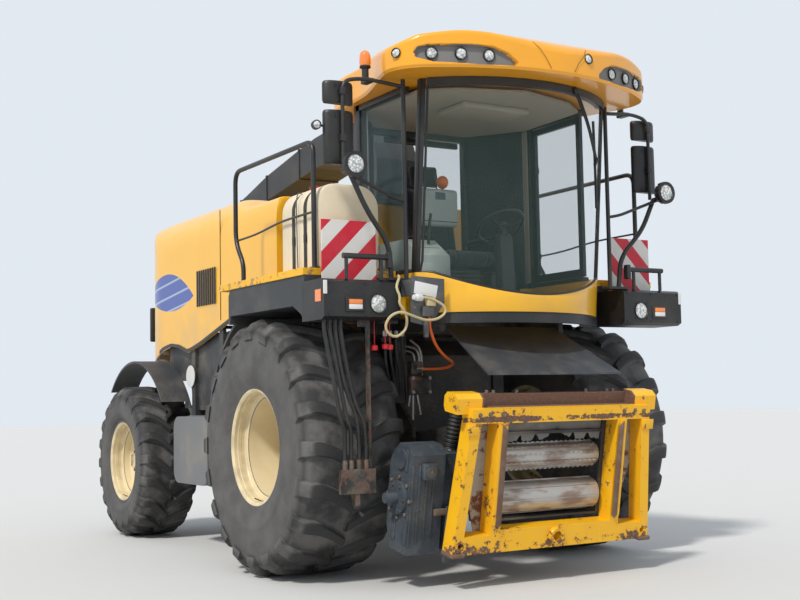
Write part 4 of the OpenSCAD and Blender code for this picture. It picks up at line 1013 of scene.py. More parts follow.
class Cords(bpy.types.Operator):
    """Lays the hoses of the coupler, the coiled cable, the orange hose, the tank's line and the dust caps' straps."""
    bl_idname = "harvester.cords"
    bl_label = "Hoses and cables"

    def lay(self, name, points, diameter, material, count=32, far_end="object", stiffness="medium", lay="hanging",
            nodes="", with_pieces=()):
        route = smooth_route(points, count)
        shape = Shape()
        shape.tube(route, diameter / 2, sides=14)
        length = sum((b - a).length for a, b in zip(route, route[1:]))
        shape.piece(name, material, nodes, None, 60)

    def end_piece(self, name, material, profile, place, steps, top=None, solid=True):
        shape = Shape()
        shape.turned(profile, place, steps, 0, top, solid)
        return shape.piece(name, material)

    def execute(self, context):
        hoses = ((1.540, 1.452, 1.150, 1.395), (1.500, 1.408, 1.150, 1.348), (1.460, 1.392, 1.290, 1.288),
                 (1.420, 1.340, 1.240, 1.236))
        for i, (start, bend, height, end) in enumerate(hoses, 1):
            points = spots((-start, -1.044, 1.78), (-start, -1.046, 1.70),
                           (-(start * 0.55 + bend * 0.45), -1.062, 1.45), (-bend, -1.078, height),
                           (-(bend * 0.3 + end * 0.7), -1.058, height * 0.5 + 0.49), (-end, -1.031, 0.955),
                           (-end, -1.03, 0.86))
            self.lay(f"coupler_hose_{i}", points, 0.028, "hose_rubber", stiffness="stiff",
                     nodes="coupler_hoses" if i == 1 else "")
        plug = self.end_piece("cable_plug", "bare_plate",
                              [(-0.03, 0.021), (-0.018, 0.024), (0.02, 0.024), (0.026, 0.018), (0.042, 0.017)],
                              aimed(at(-0.925, -1.222, 1.926), (-1, -0.2, 0.05)), 24, 0.045)
        loop = ((-0.985, 2.085, -1.07), (-1.04, 2.06, -1.17), (-1.1, 1.99, -1.235), (-1.083, 1.93, -1.245),
                (-1.085, 1.88, -1.245), (-1.05, 1.835, -1.245), (-1.024, 1.775, -1.235), (-1.038, 1.705, -1.225),
                (-1.102, 1.664, -1.22), (-1.166, 1.69, -1.222), (-1.184, 1.74, -1.23), (-1.158, 1.795, -1.25),
                (-1.10, 1.822, -1.268), (-1.035, 1.81, -1.272), (-0.96, 1.79, -1.26), (-0.88, 1.775, -1.25),
                (-0.79, 1.786, -1.245), (-0.726, 1.83, -1.245), (-0.742, 1.875, -1.245), (-0.80, 1.908, -1.24),
                (-0.859, 1.926, -1.232), (-0.915, 1.927, -1.225))
        self.lay("coiled_cable", [at(x, y, z) for x, z, y in loop], 0.018, "cable_cream", 60, "plug", "limp", "coiled",
                 with_pieces=[plug])
        orange = spots((-0.832, -1.205, 1.80), (-0.829, -1.205, 1.76), (-0.813, -1.19, 1.714), (-0.756, -1.15, 1.633),
                       (-0.684, -1.10, 1.579), (-0.60, -1.055, 1.532), (-0.52, -1.01, 1.50), (-0.488, -0.93, 1.475),
                       (-0.50, -0.82, 1.462), (-0.55, -0.73, 1.462), (-0.58, -0.68, 1.465))
        ferrule = self.end_piece("hose_ferrule", "steel",
                                 [(-0.03, 0.0104), (-0.03, 0.0135), (0.0, 0.014), (0.002, 0.017), (0.016, 0.017),
                                  (0.018, ON_AXIS)], aimed(at(-0.582, -0.676, 1.465), (-0.5, 0.86, 0.05)), 20,
                                 solid=False)
        self.lay("orange_hose", orange, 0.020, "orange_hose", 36, "fitting", with_pieces=[ferrule])
        tank_line = spots((-1.40, -0.47, 2.70), (-1.428, -0.47, 2.71), (-1.447, -0.472, 2.66), (-1.449, -0.474, 2.55),
                          (-1.448, -0.475, 2.40), (-1.447, -0.476, 2.28), (-1.446, -0.478, 2.20),
                          (-1.446, -0.48, 2.155))
        self.lay("tank_line", tank_line, 0.008, "line_grey", 30, "object", "limp")
        for i, (x, low) in enumerate(((-1.14, 1.62), (-1.056, 1.63), (-1.02, 1.625)), 1):
            cap = self.end_piece(f"dust_cap_{i}", "red_cap",
                                 [(0, 0.020), (0.006, 0.023), (0.030, 0.023), (0.036, 0.014)],
                                 moved(*at(x, -1.0, low - 0.038)), 20, 0.038)
            self.lay(f"cap_strap_{i}", [at(x, -1.0, z) for z in (1.782, 1.74, 1.69, low)], 0.006, "red_cap", 16,
                     "fitting", "limp", with_pieces=[cap])
        return {"FINISHED"}


class Hood(bpy.types.Operator):
    """Moulds the hood as one shell with round rear corners, its rear hatch opening and the spout's hole."""
    bl_idname = "harvester.hood"
    bl_label = "Hood"

    def execute(self, context):
        corner, rear = sizes().hood_corner, sizes().hood_rear
        half, front, end, crest = 1.14, 0.5, 3.90, 3.02
        side = ((0.5, 2.86), (1.18, 2.86), (1.24, 2.885), (1.42, 2.975), (1.52, 2.996), (1.7, 3.015), (1.9, crest),
                (3.0, crest), (3.11, 3.013), (3.22, 3.0), (3.32, 2.98), (3.42, 2.952), (3.52, 2.912), (3.60, 2.868),
                (3.68, 2.806), (3.75, 2.735), (3.80, 2.672), (3.85, 2.58), (3.90, 2.478), (4.0, 2.32))
        lower = ((0.3, 1.93), (1.4, 1.93), (2.07, 1.76), (2.38, 1.70), (2.6, 1.755), (2.81, 1.775), (3.0, 1.75),
                 (3.24, 1.68), (3.6, 1.60), (4.2, 1.60))

        def height(x, y):
            over = max(abs(x) - (half - corner), 0)
            section = crest - corner + math.sqrt(max(corner * corner - over * over, 0))
            return blend_min(section, along_points(side, y), 0.05)

        arc = [Vector((-(half - rear) - rear * math.cos(a), end - rear + rear * math.sin(a)))
               for a in (math.radians(k * 4.5) for k in range(21))]
        other_arc = [Vector((-p.x, p.y)) for p in reversed(arc)]
        outline = [Vector((-half, front)), *arc, *other_arc, Vector((half, front))]
        rows = moulded_rows(spaced(outline, step=0.055), (0.9, 2.9), height, lambda p: along_points(lower, p.y),
                            edge=0.03, walls=14)
        shape = Shape()
        shape.sheet(rows, thick=0.012, wrap=True)
        hatch, spout_hole = Shape(), Shape()
        hatch.block(at(-0.61, 3.6, 1.5), at(0.61, 4.2, 2.46))
        spout_hole.lathe([(2.7, 0.0), (2.7, 0.24), (3.0, 0.24), (3.0, 0.0)], at(0, 0.75, 0), 64, 0, "Z")
        mesh = shape.closed_mesh("hood_shell")
        for tool in (hatch, spout_hole):
            mesh = cut_with(mesh, tool)
        to_object(mesh, "hood_shell", "hood_paint", "hood", 40)

        trim, lugs = Shape(), Shape()
        hinge = at(0, 3.845, 2.455)
        for _, s in SIDES:
            trim.sheet([[at(s * 1.142, y, along_points(lower, y) + dz) for y in (1.0 + 0.1 * k for k in range(22))]
                        for dz in (0.0, 0.03)], 0.006 * s)
            trim.tube(spots((1.141, 1.62, 1.95), (1.141, 1.62, 2.90), side=s), 0.004, sides=6)
            lugs.prism([(hinge.y + a, hinge.z + b) for a, b in ((-0.013, -0.013), (0.013, -0.013), (0.021, 0.025),
                                                                (0.021, 0.065), (-0.013, 0.025))],
                       s * 0.530, s * 0.545)
        trim.tube([at(x, 1.62, 3.002) for x in (-0.8, 0.8)], 0.003, sides=6)
        trim.piece("hood_trim", "black_trim")
        lugs.piece("hatch_lugs", "iron", bevel=0.002)
        return {"FINISHED"}


RECESS = [(0.35, 3.470), (0.35, 3.500), (0.42, 3.560), (0.52, 3.600), (0.66, 3.608), (0.93, 3.606), (0.99, 3.592),
          (1.012, 3.555), (1.0, 3.515), (0.90, 3.482), (0.60, 3.466)]
ROOF_PLAN = [(0, -1.680), (0.260, -1.660), (0.500, -1.600), (0.740, -1.515), (0.960, -1.400), (1.060, -1.310),
             (1.100, -1.200), (1.100, -1.090), (1.0, -0.800), (0.900, -0.480), (0.880, 0.0), (0.760, 0.230),
             (0.600, 0.330)]


def inside_depth(x, z, outline):
    """How far a point lies inside an outline; below 0 outside it."""
    nearest, inside = math.inf, False
    for (x0, z0), (x1, z1) in zip(outline, outline[1:] + outline[:1]):
        dx, dz = x1 - x0, z1 - z0
        t = min(max(((x - x0) * dx + (z - z0) * dz) / (dx * dx + dz * dz), 0), 1)
        nearest = min(nearest, math.hypot(x - x0 - dx * t, z - z0 - dz * t))
        if (z0 > z) != (z1 > z) and x < x0 + (z - z0) / (z1 - z0) * (x1 - x0):
            inside = not inside
    return nearest if inside else -nearest


class Roof(bpy.types.Operator):
    """Moulds the roof with its visor and the grey lamp recesses, and sets the lamps and the beacon."""
    bl_idname = "harvester.roof"
    bl_label = "Roof and its lamps"

    def execute(self, context):
        foot, crest, visor = 3.45, 3.745, -1.2
        recess, hem = 0.034, 0.012
        side = ((-1.70, 3.590), (-1.67, 3.625), (-1.63, 3.664), (-1.56, 3.700), (-1.46, 3.722), (-1.35, 3.735),
                (-1.15, crest), (0.15, crest), (0.25, 3.738), (0.33, 3.715), (0.4, 3.68))

        def height(x, y):
            return blend_min(crest - 0.07 * x * x - max(abs(x) - 0.98, 0) * 0.35, along_points(side, y), 0.02)

        left = [Vector((-x, y)) for x, y in ROOF_PLAN]
        right = [Vector(p) for p in reversed(ROOF_PLAN[1:])]
        plan = spaced(corner_cut(left + right, 3), 0.03, 0.0075, visor)
        normals = {}
        for before, p, after in zip(plan[-1:] + plan, plan, plan[1:] + plan[:1]):
            normal = Vector((after.y - before.y, before.x - after.x)).normalized()
            outwards = normal.dot(p - Vector((0, -0.6))) >= 0
            normals[(p.x, p.y)] = normal if outwards else -normal

        def sink(p, z):
            depth = recess * ease(inside_depth(abs(p.x), z, RECESS) / 0.014) if p.y < visor else 0.0
            return p - normals[(p.x, p.y)] * (depth + hem * (1 - ease((z - foot) / 0.02)))

        shape = Shape()
        rows = moulded_rows(plan, (-0.9, -0.2), height, lambda p: foot, edge=0.028, walls=38, shrink=sink)
        for face in shape.sheet(rows, thick=0.010, wrap=True):
            x, y, z = face.calc_center_median()
            if y - AXLE_Y < visor and z < 3.615 and inside_depth(abs(x), z, RECESS) > 0.006:
                face.material_index = 1
        shape.prism([(p.x * 0.985, (p.y + 0.6) * 0.985 - 0.6 + AXLE_Y) for p in plan[::3]], 3.451, 3.463, "Z")
        shape.piece("roof_shell", "roof_yellow recess_grey", "cab_roof", "roof_yellow", 38)

        seam, lamps = Shape(), Shape()
        for _, s in SIDES:
            line = ((0.10, 3.475), (0.14, 3.54), (0.19, 3.60), (0.23, 3.655))
            seam.tube([at(s * x, -1.678 + 0.12 * x ** 2 + max(z - 3.60, 0) * 0.55, z) for x, z in line], 0.0016, 0, 6)
            for x, y, z in ((0.536, -1.562, 3.540), (0.721, -1.499, 3.545), (0.898, -1.410, 3.548)):
                round_lamp(lamps, at(s * x, y + 0.002, z), (s * x * 0.35, -1, -0.02), 0.042)
            round_lamp(lamps, at(s * 1.089, -1.262, 3.560), (s, -0.55, 0), 0.034)
        seam.piece("roof_seams", "black_trim")
        round_lamp(lamps, at(0.240, -1.658, 3.590), (0.10, -1, 0.12), 0.038)
        beacon = moved(*at(-1.148, -0.95, 3.5245))
        lamps.turned([(0, 0.038), (0.008, 0.040), (0.014, 0.034)], beacon, 40, 0, 0.016)
        lamps.turned([(0.014, 0.037), (0.03, 0.0405), (0.085, 0.039), (0.105, 0.033), (0.120, 0.018)], beacon, 40, 2,
                     0.1262)
        lamps.piece("roof_lamp_set", "black_trim lens amber", "roof_lamps", "lens", 30)
        return {"FINISHED"}


CAB_CONE_Y = -0.275


def cone_point(x, z, inset=0.0):
    """A point on the cab's round front wall."""
    radius = 1.075 + 0.110 * (z - 1.84) / 1.61 - inset
    return at(x, CAB_CONE_Y - math.sqrt(max(radius * radius - x * x, 0)), z)


def screen_edge(x):
    """Height of the windscreen's curved lower edge."""
    bow, x = 1.768, min(abs(x), 0.735)
    return 1.96 + bow - math.sqrt(bow ** 2 - x * x)


class CabShell(bpy.types.Operator):
    """Builds the cab's slim front posts, its glass, the rubber seal, the black band under the visor, a black band of
    painted shade below the windscreen, and the wiper.
    """
    bl_idname = "harvester.cab_shell"
    bl_label = "Cab shell"

    def execute(self, context):
        half, top, inset = 0.784, 3.425, 0.012
        columns = [-half + 2 * half * k / 48 for k in range(49)]
        glass = Shape()
        glass.sheet([[cone_point(x, screen_edge(x) + 0.006 + (top - screen_edge(x)) * i / 24, inset) for x in columns]
                     for i in range(25)], thick=0.006)
        glass.piece("windscreen_pane", "windscreen_glass", "windscreen", "glass", 60)

        posts = Shape()
        for _, s in SIDES:
            for x0, x1, front in ((0.783, 0.812, 0.008), (0.812, 0.819, 0.0)):
                posts.rings([[cone_point(s * x0, z, front), cone_point(s * x1, z, front),
                              cone_point(s * x1, z, front) + Vector((0, 0.034, 0)),
                              cone_point(s * x0, z, front) + Vector((0, 0.028, 0))]
                             for z in (2.118, 2.4, 2.8, 3.1, 3.45)])
            for x0, y0, z0, x1, y1, z1 in ((0.755, -0.275, 2.12, 0.819, -0.195, 3.45),
                                           (0.76, -0.90, 3.405, 0.819, -0.22, 3.45),
                                           (0.76, -0.90, 2.12, 0.819, -0.22, 2.153),
                                           (0.43, 0.19, 2.15, 0.5, 0.249, 3.40)):
                posts.block(at(s * x0, y0, z0), at(s * x1, y1, z1))
            posts.prism([(s * 0.819, AXLE_Y - 0.222), (s * 0.499, AXLE_Y + 0.249), (s * 0.45, AXLE_Y + 0.215),
                         (s * 0.765, AXLE_Y - 0.245)], 2.12, 3.45, "Z")
        posts.sheet([[cone_point(x, z, 0.002) for x in columns] for z in (3.40, 3.45)], -0.05)
        posts.block(at(-0.5, 0.19, 3.36), at(0.5, 0.249, 3.45))
        posts.block(at(-0.5, 0.19, 2.12), at(0.5, 0.249, 2.185))
        for z in (2.40, 3.10):
            posts.matrix = moved(*at(0.835, -0.262, z))
            posts.turned([(0, 0.0063), (0, 0.012), (0.04, 0.012), (0.04, 0.0063)], Matrix(), 20, solid=False)
            posts.block((-0.020, -0.006, 0), (-0.0063, 0.006, 0.04))
        posts.piece("cab_posts", "black_trim", "cab_frame", "black_trim", 35, 0.004)

        seal, band, wiper = Shape(), Shape(), Shape()
        sill = [cone_point(x, screen_edge(x) + 0.004, 0.006) for x in columns]
        seal.tube([cone_point(-0.774, z, 0.008) for z in (3.41, 2.8, 2.2)] + sill
                  + [cone_point(0.774, z, 0.008) for z in (2.2, 2.8, 3.41)], 0.009, 0, 8)
        seal.piece("screen_seal", "black_trim")
        band.sheet([[cone_point(x, z, -0.004) for x in columns] for z in (3.395, 3.42, 3.448)], 0.008)
        # The lower band is painted shade: a black sheet below the windscreen that stands in for the shade lying there.
        band.sheet([[cone_point(x * 1.04, z, 0.010 - (1.84 - z) * 0.2) for x in columns] for z in (1.842, 1.80, 1.765)],
                   0.010)
        band.piece("cab_bands", "black_trim")

        pivot = cone_point(0.30, top, -0.02)
        wiper.turned([(-0.03, 0.022), (0.0, 0.024), (0.012, 0.016)], aimed(pivot, (0.25, -1, 0.1)), 24, 0, 0.014)
        for off in (-0.012, 0.012):
            wiper.tube(smooth_route([pivot + Vector((off, 0, 0)), cone_point(0.44 + off, 3.20, -0.035),
                                     cone_point(0.585 + off, 2.98, -0.028)], 14), 0.007, 0, 10)
        blade = [cone_point(0.55 + 0.10 * k / 12, 3.25 - 0.62 * k / 12, -0.013) for k in range(13)]
        wiper.tube(blade, 0.009, 0, 8)
        wiper.tube([p + Vector((0, 0.010, 0)) for p in blade], 0.005, 0, 6)
        wiper.tube([cone_point(0.585, 2.98, -0.034), cone_point(0.60, 2.94, -0.012)], 0.013, 0, 10)
        wiper.piece("wiper", "black_trim")
        return {"FINISHED"}


def pad(name, low, high, turn, bulge, seams=()):
    """A cushion of the seat: a soft block, inflated as cloth and then sewn across at these places of its width."""
    shape = Shape()
    shape.matrix = turn
    shape.soft_block(low, high, min(h - l for l, h in zip(low, high)) * 0.30, steps=4)

    def voxels(carrier):
        remesh = carrier.modifiers.new("Voxels", "REMESH")
        remesh.mode = "VOXEL"
        remesh.voxel_size = 0.008

    def cloth(carrier):
        settings = carrier.modifiers.new("Cloth", "CLOTH").settings
        settings.use_pressure = True
        settings.uniform_pressure_force = 4.0
        settings.effector_weights.gravity = 0
        settings.quality = 5

    mesh = baked(shape.closed_mesh(name), voxels)
    still = [v.co.copy() for v in mesh.vertices]
    mesh = baked(mesh, cloth, 12)
    for v, rest in zip(mesh.vertices, still):
        step = v.co - rest
        if step.length > bulge:
            v.co = rest + step.normalized() * bulge
    back = turn.inverted()
    centre = (Vector(low) + Vector(high)) / 2
    seam_reach, seam_depth = 0.012, 0.007
    for v in mesh.vertices:
        p = back @ v.co
        groove = max([1 - abs(p.x - place) / seam_reach for place in seams] + [0.0])
        inward = Vector((0, centre.y - p.y, centre.z - p.z))
        if groove > 0:
            if inward.length:
                p = p + inward.normalized() * seam_depth * ease(groove)
            v.co = turn @ p
    form = bmesh.new()
    form.from_mesh(mesh)
    bmesh.ops.smooth_vert(form, verts=form.verts, factor=0.5, use_axis_x=True, use_axis_y=True, use_axis_z=True)
    form.to_mesh(mesh)
    form.free()
    piece = to_object(mesh, name, "seat_cloth", "driver_seat", 80)
    soft = piece.modifiers.new("Smooth", "SUBSURF")
    soft.levels = soft.render_levels = 1


class CabInside(bpy.types.Operator):
    """Fits the padded seat, the console with its screen and lever, the steering wheel, the lining and the mats."""
    bl_idname = "harvester.cab_inside"
    bl_label = "Inside of the cab"

    def execute(self, context):
        lean = moved(*at(0, -0.06, 2.26)) @ turned_by(-11, "X")
        pad("seat_cushion", (-0.235, -0.545, 2.262), (0.235, -0.105, 2.352), moved(*at(0, 0, 0)), 0.012,
            (-0.14, 0.14))
        pad("seat_back", (-0.22, 0.0, 0.03), (0.22, 0.095, 0.68), lean, 0.012, (-0.12, 0.12))
        pad("seat_headrest", (-0.125, 0.012, 0.715), (0.125, 0.082, 0.885), lean, 0.008)
        seat = Shape()
        seat.soft_block(at(-0.16, -0.44, 1.902), at(0.16, -0.14, 2.03), 0.02)
        for i in range(6):
            inset = 0.004 * (i % 2)
            seat.soft_block(at(-0.150 + inset, -0.43 + inset, 2.03 + i * 0.033),
                            at(0.150 - inset, -0.15 - inset, 2.063 + i * 0.033), 0.008, steps=2)
        seat.pairs((0.30, 0.035, -0.42, -0.06, 2.46, 2.50, 0.015, 0, 4))
        for _, s in SIDES:
            seat.tube(spots((0.05, 0, 2.88), (0.05, 0.075, 3.02), side=s), 0.007, 0, 8)
            seat.tube(bent(spots((0.30, -0.08, 2.47), (0.30, -0.02, 2.40), (0.235, 0.0, 2.36), side=s), 0.03), 0.014)
        seat.piece("seat_base", "black_trim", "driver_seat", "black_trim")

        desk = Shape()
        outline = ((-0.76, 1.905), (-0.08, 1.905), (-0.08, 2.355), (-0.20, 2.415), (-0.56, 2.415), (-0.755, 2.28))
        desk.prism([(y + AXLE_Y, z) for y, z in outline], -0.618, -0.352)
        for i in range(4):
            desk.soft_block(at(-0.58 + i * 0.05, -0.34, 2.412), at(-0.545 + i * 0.05, -0.30, 2.420), 0.003, 1, 2)
        desk.soft_block(at(-0.60, -0.66, 2.335), at(-0.37, -0.60, 2.352), 0.005, 1, 2)
        desk.soft_block(at(-0.60, -0.772, 2.02), at(-0.37, -0.760, 2.22), 0.006, 0, 2)
        desk.piece("console", "console_grey black_trim", "cab_controls", "cream_plastic", 35, 0.012)

        levers = Shape()
        levers.tube(bent(spots((-0.45, -0.62, 2.38), (-0.45, -0.64, 2.52), (-0.45, -0.66, 2.60)), 0.05), 0.011)
        levers.matrix = moved(*at(-0.315, -0.55, 2.665))
        levers.soft_block((-0.165, -0.035, -0.14), (0.165, 0.035, 0.14), 0.028, 3, 4)
        levers.soft_block((-0.045, -0.0365, 0.055), (0.048, -0.030, 0.112), 0.003, 1, 1)
        levers.soft_block((-0.150, -0.037, -0.110), (0.150, -0.0345, -0.104), 0.001, 0, 1)
        levers.matrix = moved(*at(-0.205, -0.45, 2.74))
        levers.turned([(0, 0.035), (0.012, 0.033), (0.02, 0.020), (0.03, 0.012), (0.11, 0.010)], Matrix(), 24, 2)
        knob = [(0.14 - 0.050 * math.cos(a), max(0.046 * math.sin(a), ON_AXIS)) for a in
                (math.pi * k / 12 for k in range(13))]
        levers.turned(knob, Matrix(), 24, 2, solid=False)
        levers.piece("cab_levers", "black_trim screen_glass orange_plastic console_grey", "cab_controls", None, 40)

        column = Shape()
        column.prism([(y + AXLE_Y, z) for y, z in ((-1.0, 1.905), (-0.905, 1.905), (-0.885, 2.39), (-0.92, 2.445),
                                                   (-0.97, 2.425))], -0.055, 0.055)
        column.matrix = moved(*at(0, -0.90, 2.50)) @ turned_by(-35, "X")
        wheel = around(48)
        column.tube([(0.176 * c, 0.176 * s, 0.0) for c, s in wheel + wheel[:1]], 0.0135, 0, 12)
        column.turned([(-0.10, 0.024), (-0.02, 0.026), (-0.015, 0.045), (0.008, 0.048), (0.016, 0.036)], Matrix(), 32,
                      0, 0.018)
        for c, s in around(3, 0.75):
            column.tube([(r * c, r * s, z) for r, z in ((0.03, 0.0), (0.09, -0.012), (0.170, 0.0))], 0.009, 0, 8)
        column.piece("steering_wheel", "black_trim", "cab_controls", "black_trim", 40, 0.003)

        lining = Shape()
        plan = ((-0.72, -0.95), (-0.5, -1.12), (0, -1.27), (0.5, -1.12), (0.72, -0.95), (0.745, -0.25), (0.44, 0.18),
                (-0.44, 0.18), (-0.745, -0.25))
        lining.prism([(x, y + AXLE_Y) for x, y in plan], 3.405, 3.425, "Z")
        lining.prism([(x * 0.985, y * 0.98 + AXLE_Y) for x, y in plan], 1.902, 1.915, "Z", 1)
        for s in (-1, 1):
            lining.soft_block(at(s * 0.755 - 0.012, -0.27, 2.16), at(s * 0.742, -0.21, 3.40), 0.004, 0, 2)
        for low, high, radius, mark, steps in (((-0.30, -0.90, 3.36), (0.30, -0.55, 3.408), 0.02, 0, 3),
                                               ((-0.35, 0.145, 3.29), (0.35, 0.18, 3.34), 0.012, 1, 2),
                                               ((-0.44, 0.165, 1.905), (0.44, 0.185, 2.17), 0.006, 0, 2),
                                               ((0.40, -0.20, 1.905), (0.70, -0.05, 2.25), 0.03, 1, 3)):
            lining.soft_block(at(*low), at(*high), radius, mark, steps)
        lining.piece("cab_lining", "headliner black_trim", "", "cream_plastic")
        return {"FINISHED"}


class Lamps(bpy.types.Operator):
    """Builds the headlights, indicators, work lights and rear lamps with their bezels."""
    bl_idname = "harvester.lamps"
    bl_label = "Lamps"

    def execute(self, context):
        front, work, bracket, rear = (Shape() for _ in range(4))
        forward = (0, -1, 0)
        for _, s in SIDES:
            round_lamp(front, at(s * 1.16, -1.1005, 1.89), forward, 0.0675, 0.04, 4)
            round_lamp(work, at(s * 1.37, -1.196, 2.80), forward, 0.070, 0.03)
            place = aimed(at(s * 1.37, -1.112, 2.80), forward)
            work.turned([(0, 0.043), (0.022, 0.070), (0.050, 0.080), (0.056, 0.0845), (0.088, 0.0845), (0.088, 0.070),
                         (0.060, 0.066)], place, 48, 0, 0.055)
            for k in range(8):
                work.matrix = place @ turned_by(45 * (k + 0.5), "Z")
                work.soft_block((0.060, -0.020, 0.040), (0.0846, 0.020, 0.086), 0.004, 0, 2)
            work.matrix = Matrix()
            work.tube(spots((1.37, -1.10, 2.775), (1.37, -1.135, 2.785), side=s), 0.014)
        front.pairs((1.34, 0.071, -1.109, -1.095, 1.830, 1.930, 0.0068, 0, 3),
                    (1.34, 0.050, -1.116, -1.105, 1.882, 1.914, 0.004, 2, 2),
                    (1.34, 0.050, -1.116, -1.105, 1.848, 1.881, 0.004, 3, 2),
                    (1.34, 0.045, -1.09, -1.08, 1.845, 1.915, 0.003, 0, 1))
        front.piece("front_lamp_set", "black_trim lens amber white_lens", "front_lamps", "lens", 30)
        work.piece("work_light_set", "black_trim lens", "work_lights", "black_trim", 30)

        round_lamp(bracket, at(-1.535, -0.965, 3.09), (-0.1, -1, 0), 0.032, 0.03)
        bracket.tube(bent(spots((-1.385, -0.975, 3.09), (-1.45, -0.935, 3.095), (-1.535, -0.935, 3.09)), 0.03), 0.008)
        bracket.piece("mirror_lamp", "black_trim lens")

        rear.pairs((0.98, 0.07, 3.60, 3.646, 1.86, 2.20, 0.015, 0, 3),
                   (0.98, 0.052, 3.64, 3.655, 1.88, 1.98, 0.006, 1, 2),
                   (0.98, 0.052, 3.64, 3.655, 1.99, 2.08, 0.006, 2, 2),
                   (0.98, 0.052, 3.64, 3.655, 2.09, 2.18, 0.006, 3, 2),
                   (1.134, 0.004, 2.50, 2.60, 1.27, 1.31, 0.003, 2, 1))
        rear.piece("rear_lamp_set", "black_trim red_lens amber white_lens")
        return {"FINISHED"}


class Rails(bpy.types.Operator):
    """Bends the handrails and the mirror stays as smooth tubes, and makes the mirrors with their glass."""
    bl_idname = "harvester.rails"
    bl_label = "Handrails, stays and mirrors"

    def execute(self, context):
        for side, s in SIDES:
            rails, stays, mirrors = Shape(), Shape(), Shape()
            rails.tube(bent(spots((1.45, -0.74, 2.15), (1.45, -0.74, 3.03), (1.45, 0.58, 3.03), (1.45, 0.58, 2.48),
                                  (1.45, 0.44, 2.30), (1.45, 0.44, 2.15), side=s), 0.10, 8), 0.0178, 0, 16)
            rails.tube(smooth_route(spots((1.45, -0.74, 2.54), (1.452, -0.25, 2.535), (1.45, 0.20, 2.50),
                                          (1.45, 0.58, 2.49), side=s), 20), 0.008, 0, 10)
            for y in (-0.74, 0.44):
                rails.disc(moved(*at(s * 1.45, y, 2.151)), 0.036, 0.008, 24)
            rails.piece(f"handrail_{side}", "satin_tube", "handrails", "black_trim", 50)

            for x, half, y0, y1, z0, z1, radius in (
                    (0.965, 0.095, -1.08, -0.98, 2.05, 2.071, 0.005), (1.37, 0.03, -1.112, -1.06, 2.745, 2.775, 0.006),
                    (1.365, 0.02, -1.032, -0.996, 2.98, 3.03, 0.006), (1.365, 0.02, -1.032, -0.996, 3.30, 3.35, 0.006),
                    (1.148, 0.028, -1.03, -0.93, 3.41, 3.44, 0.006)):
                stays.soft_block(at(s * x - half, y0, z0), at(s * x + half, y1, z1), radius)
            stays.soft_block(at(s * 1.04, -1.095, 2.13), at(s * 1.075, -1.045, 2.24), 0.008)
            for points, bend, steps, radius, sides in (
                    (((0.905, -1.045, 2.06), (0.905, -1.045, 3.45)), 0, 0, 0.0158, 16),
                    (((1.010, -1.020, 2.06), (1.030, -1.030, 2.30), (1.225, -1.070, 2.52), (1.345, -1.070, 2.755)),
                     0.10, 8, 0.0178, 16),
                    (((0.905, -1.045, 2.60), (1.010, -1.060, 2.62), (1.37, -1.09, 2.755)), 0.05, 6, 0.0118, 12),
                    (((0.905, -1.045, 3.40), (1.20, -1.02, 3.43), (1.365, -1.014, 3.40), (1.365, -1.014, 2.77)),
                     0.08, 8, 0.0138, 14),
                    (((1.058, -1.07, 2.205), (1.41, -1.07, 2.205)), 0, 0, 0.019, 16),
                    (((1.12, -1.07, 2.05), (1.12, -1.07, 2.205)), 0, 0, 0.013, 12),
                    (((1.385, -1.07, 2.05), (1.385, -1.07, 2.205)), 0, 0, 0.013, 12)):
                stays.tube(bent(spots(*points, side=s), bend, steps), radius, 0, sides)
            stays.turned([(0, 0.030), (0.03, 0.030), (0.034, 0.024), (0.09, 0.024), (0.094, 0.0296), (0.0985, 0.0296)],
                         moved(*at(s * 1.148, -0.95, 3.4255)), 28)
            stays.piece(f"mirror_stay_{side}", "satin_tube", "mirror_stays", "black_trim", 50)

            for low, high in ((2.83, 3.20), (3.245, 3.40)):
                mirrors.matrix = moved(*at(s * 1.365, -0.966, 0))
                rings = []
                for z, shrink in ((low, 0.90), (low + 0.006, 0.96), (low + 0.022, 1.0), (high - 0.022, 1.0),
                                  (high - 0.006, 0.96), (high, 0.90)):
                    curve = [(0.114 * shrink * math.cos(a), 0.020 - 0.0495 * shrink * math.sin(a), z) for a in
                             (math.pi * k / 20 for k in range(21))]
                    rings.append([(0.114 * shrink, 0.028 * shrink, z), *curve, (-0.114 * shrink, 0.028 * shrink, z)])
                mirrors.rings(rings)
                mirrors.soft_block((-0.100, 0.026, low + 0.014), (0.100, 0.0295, high - 0.014), 0.0012, 1, 1)
                for k in range(3):
                    z = high - 0.03 - k * 0.012
                    mirrors.block((-0.05, -0.0285, z), (0.05, -0.02, z + 0.004))
            mirrors.piece(f"mirror_{side}", "black_trim mirror_glass", "mirrors", "black_trim", 40)
        return {"FINISHED"}


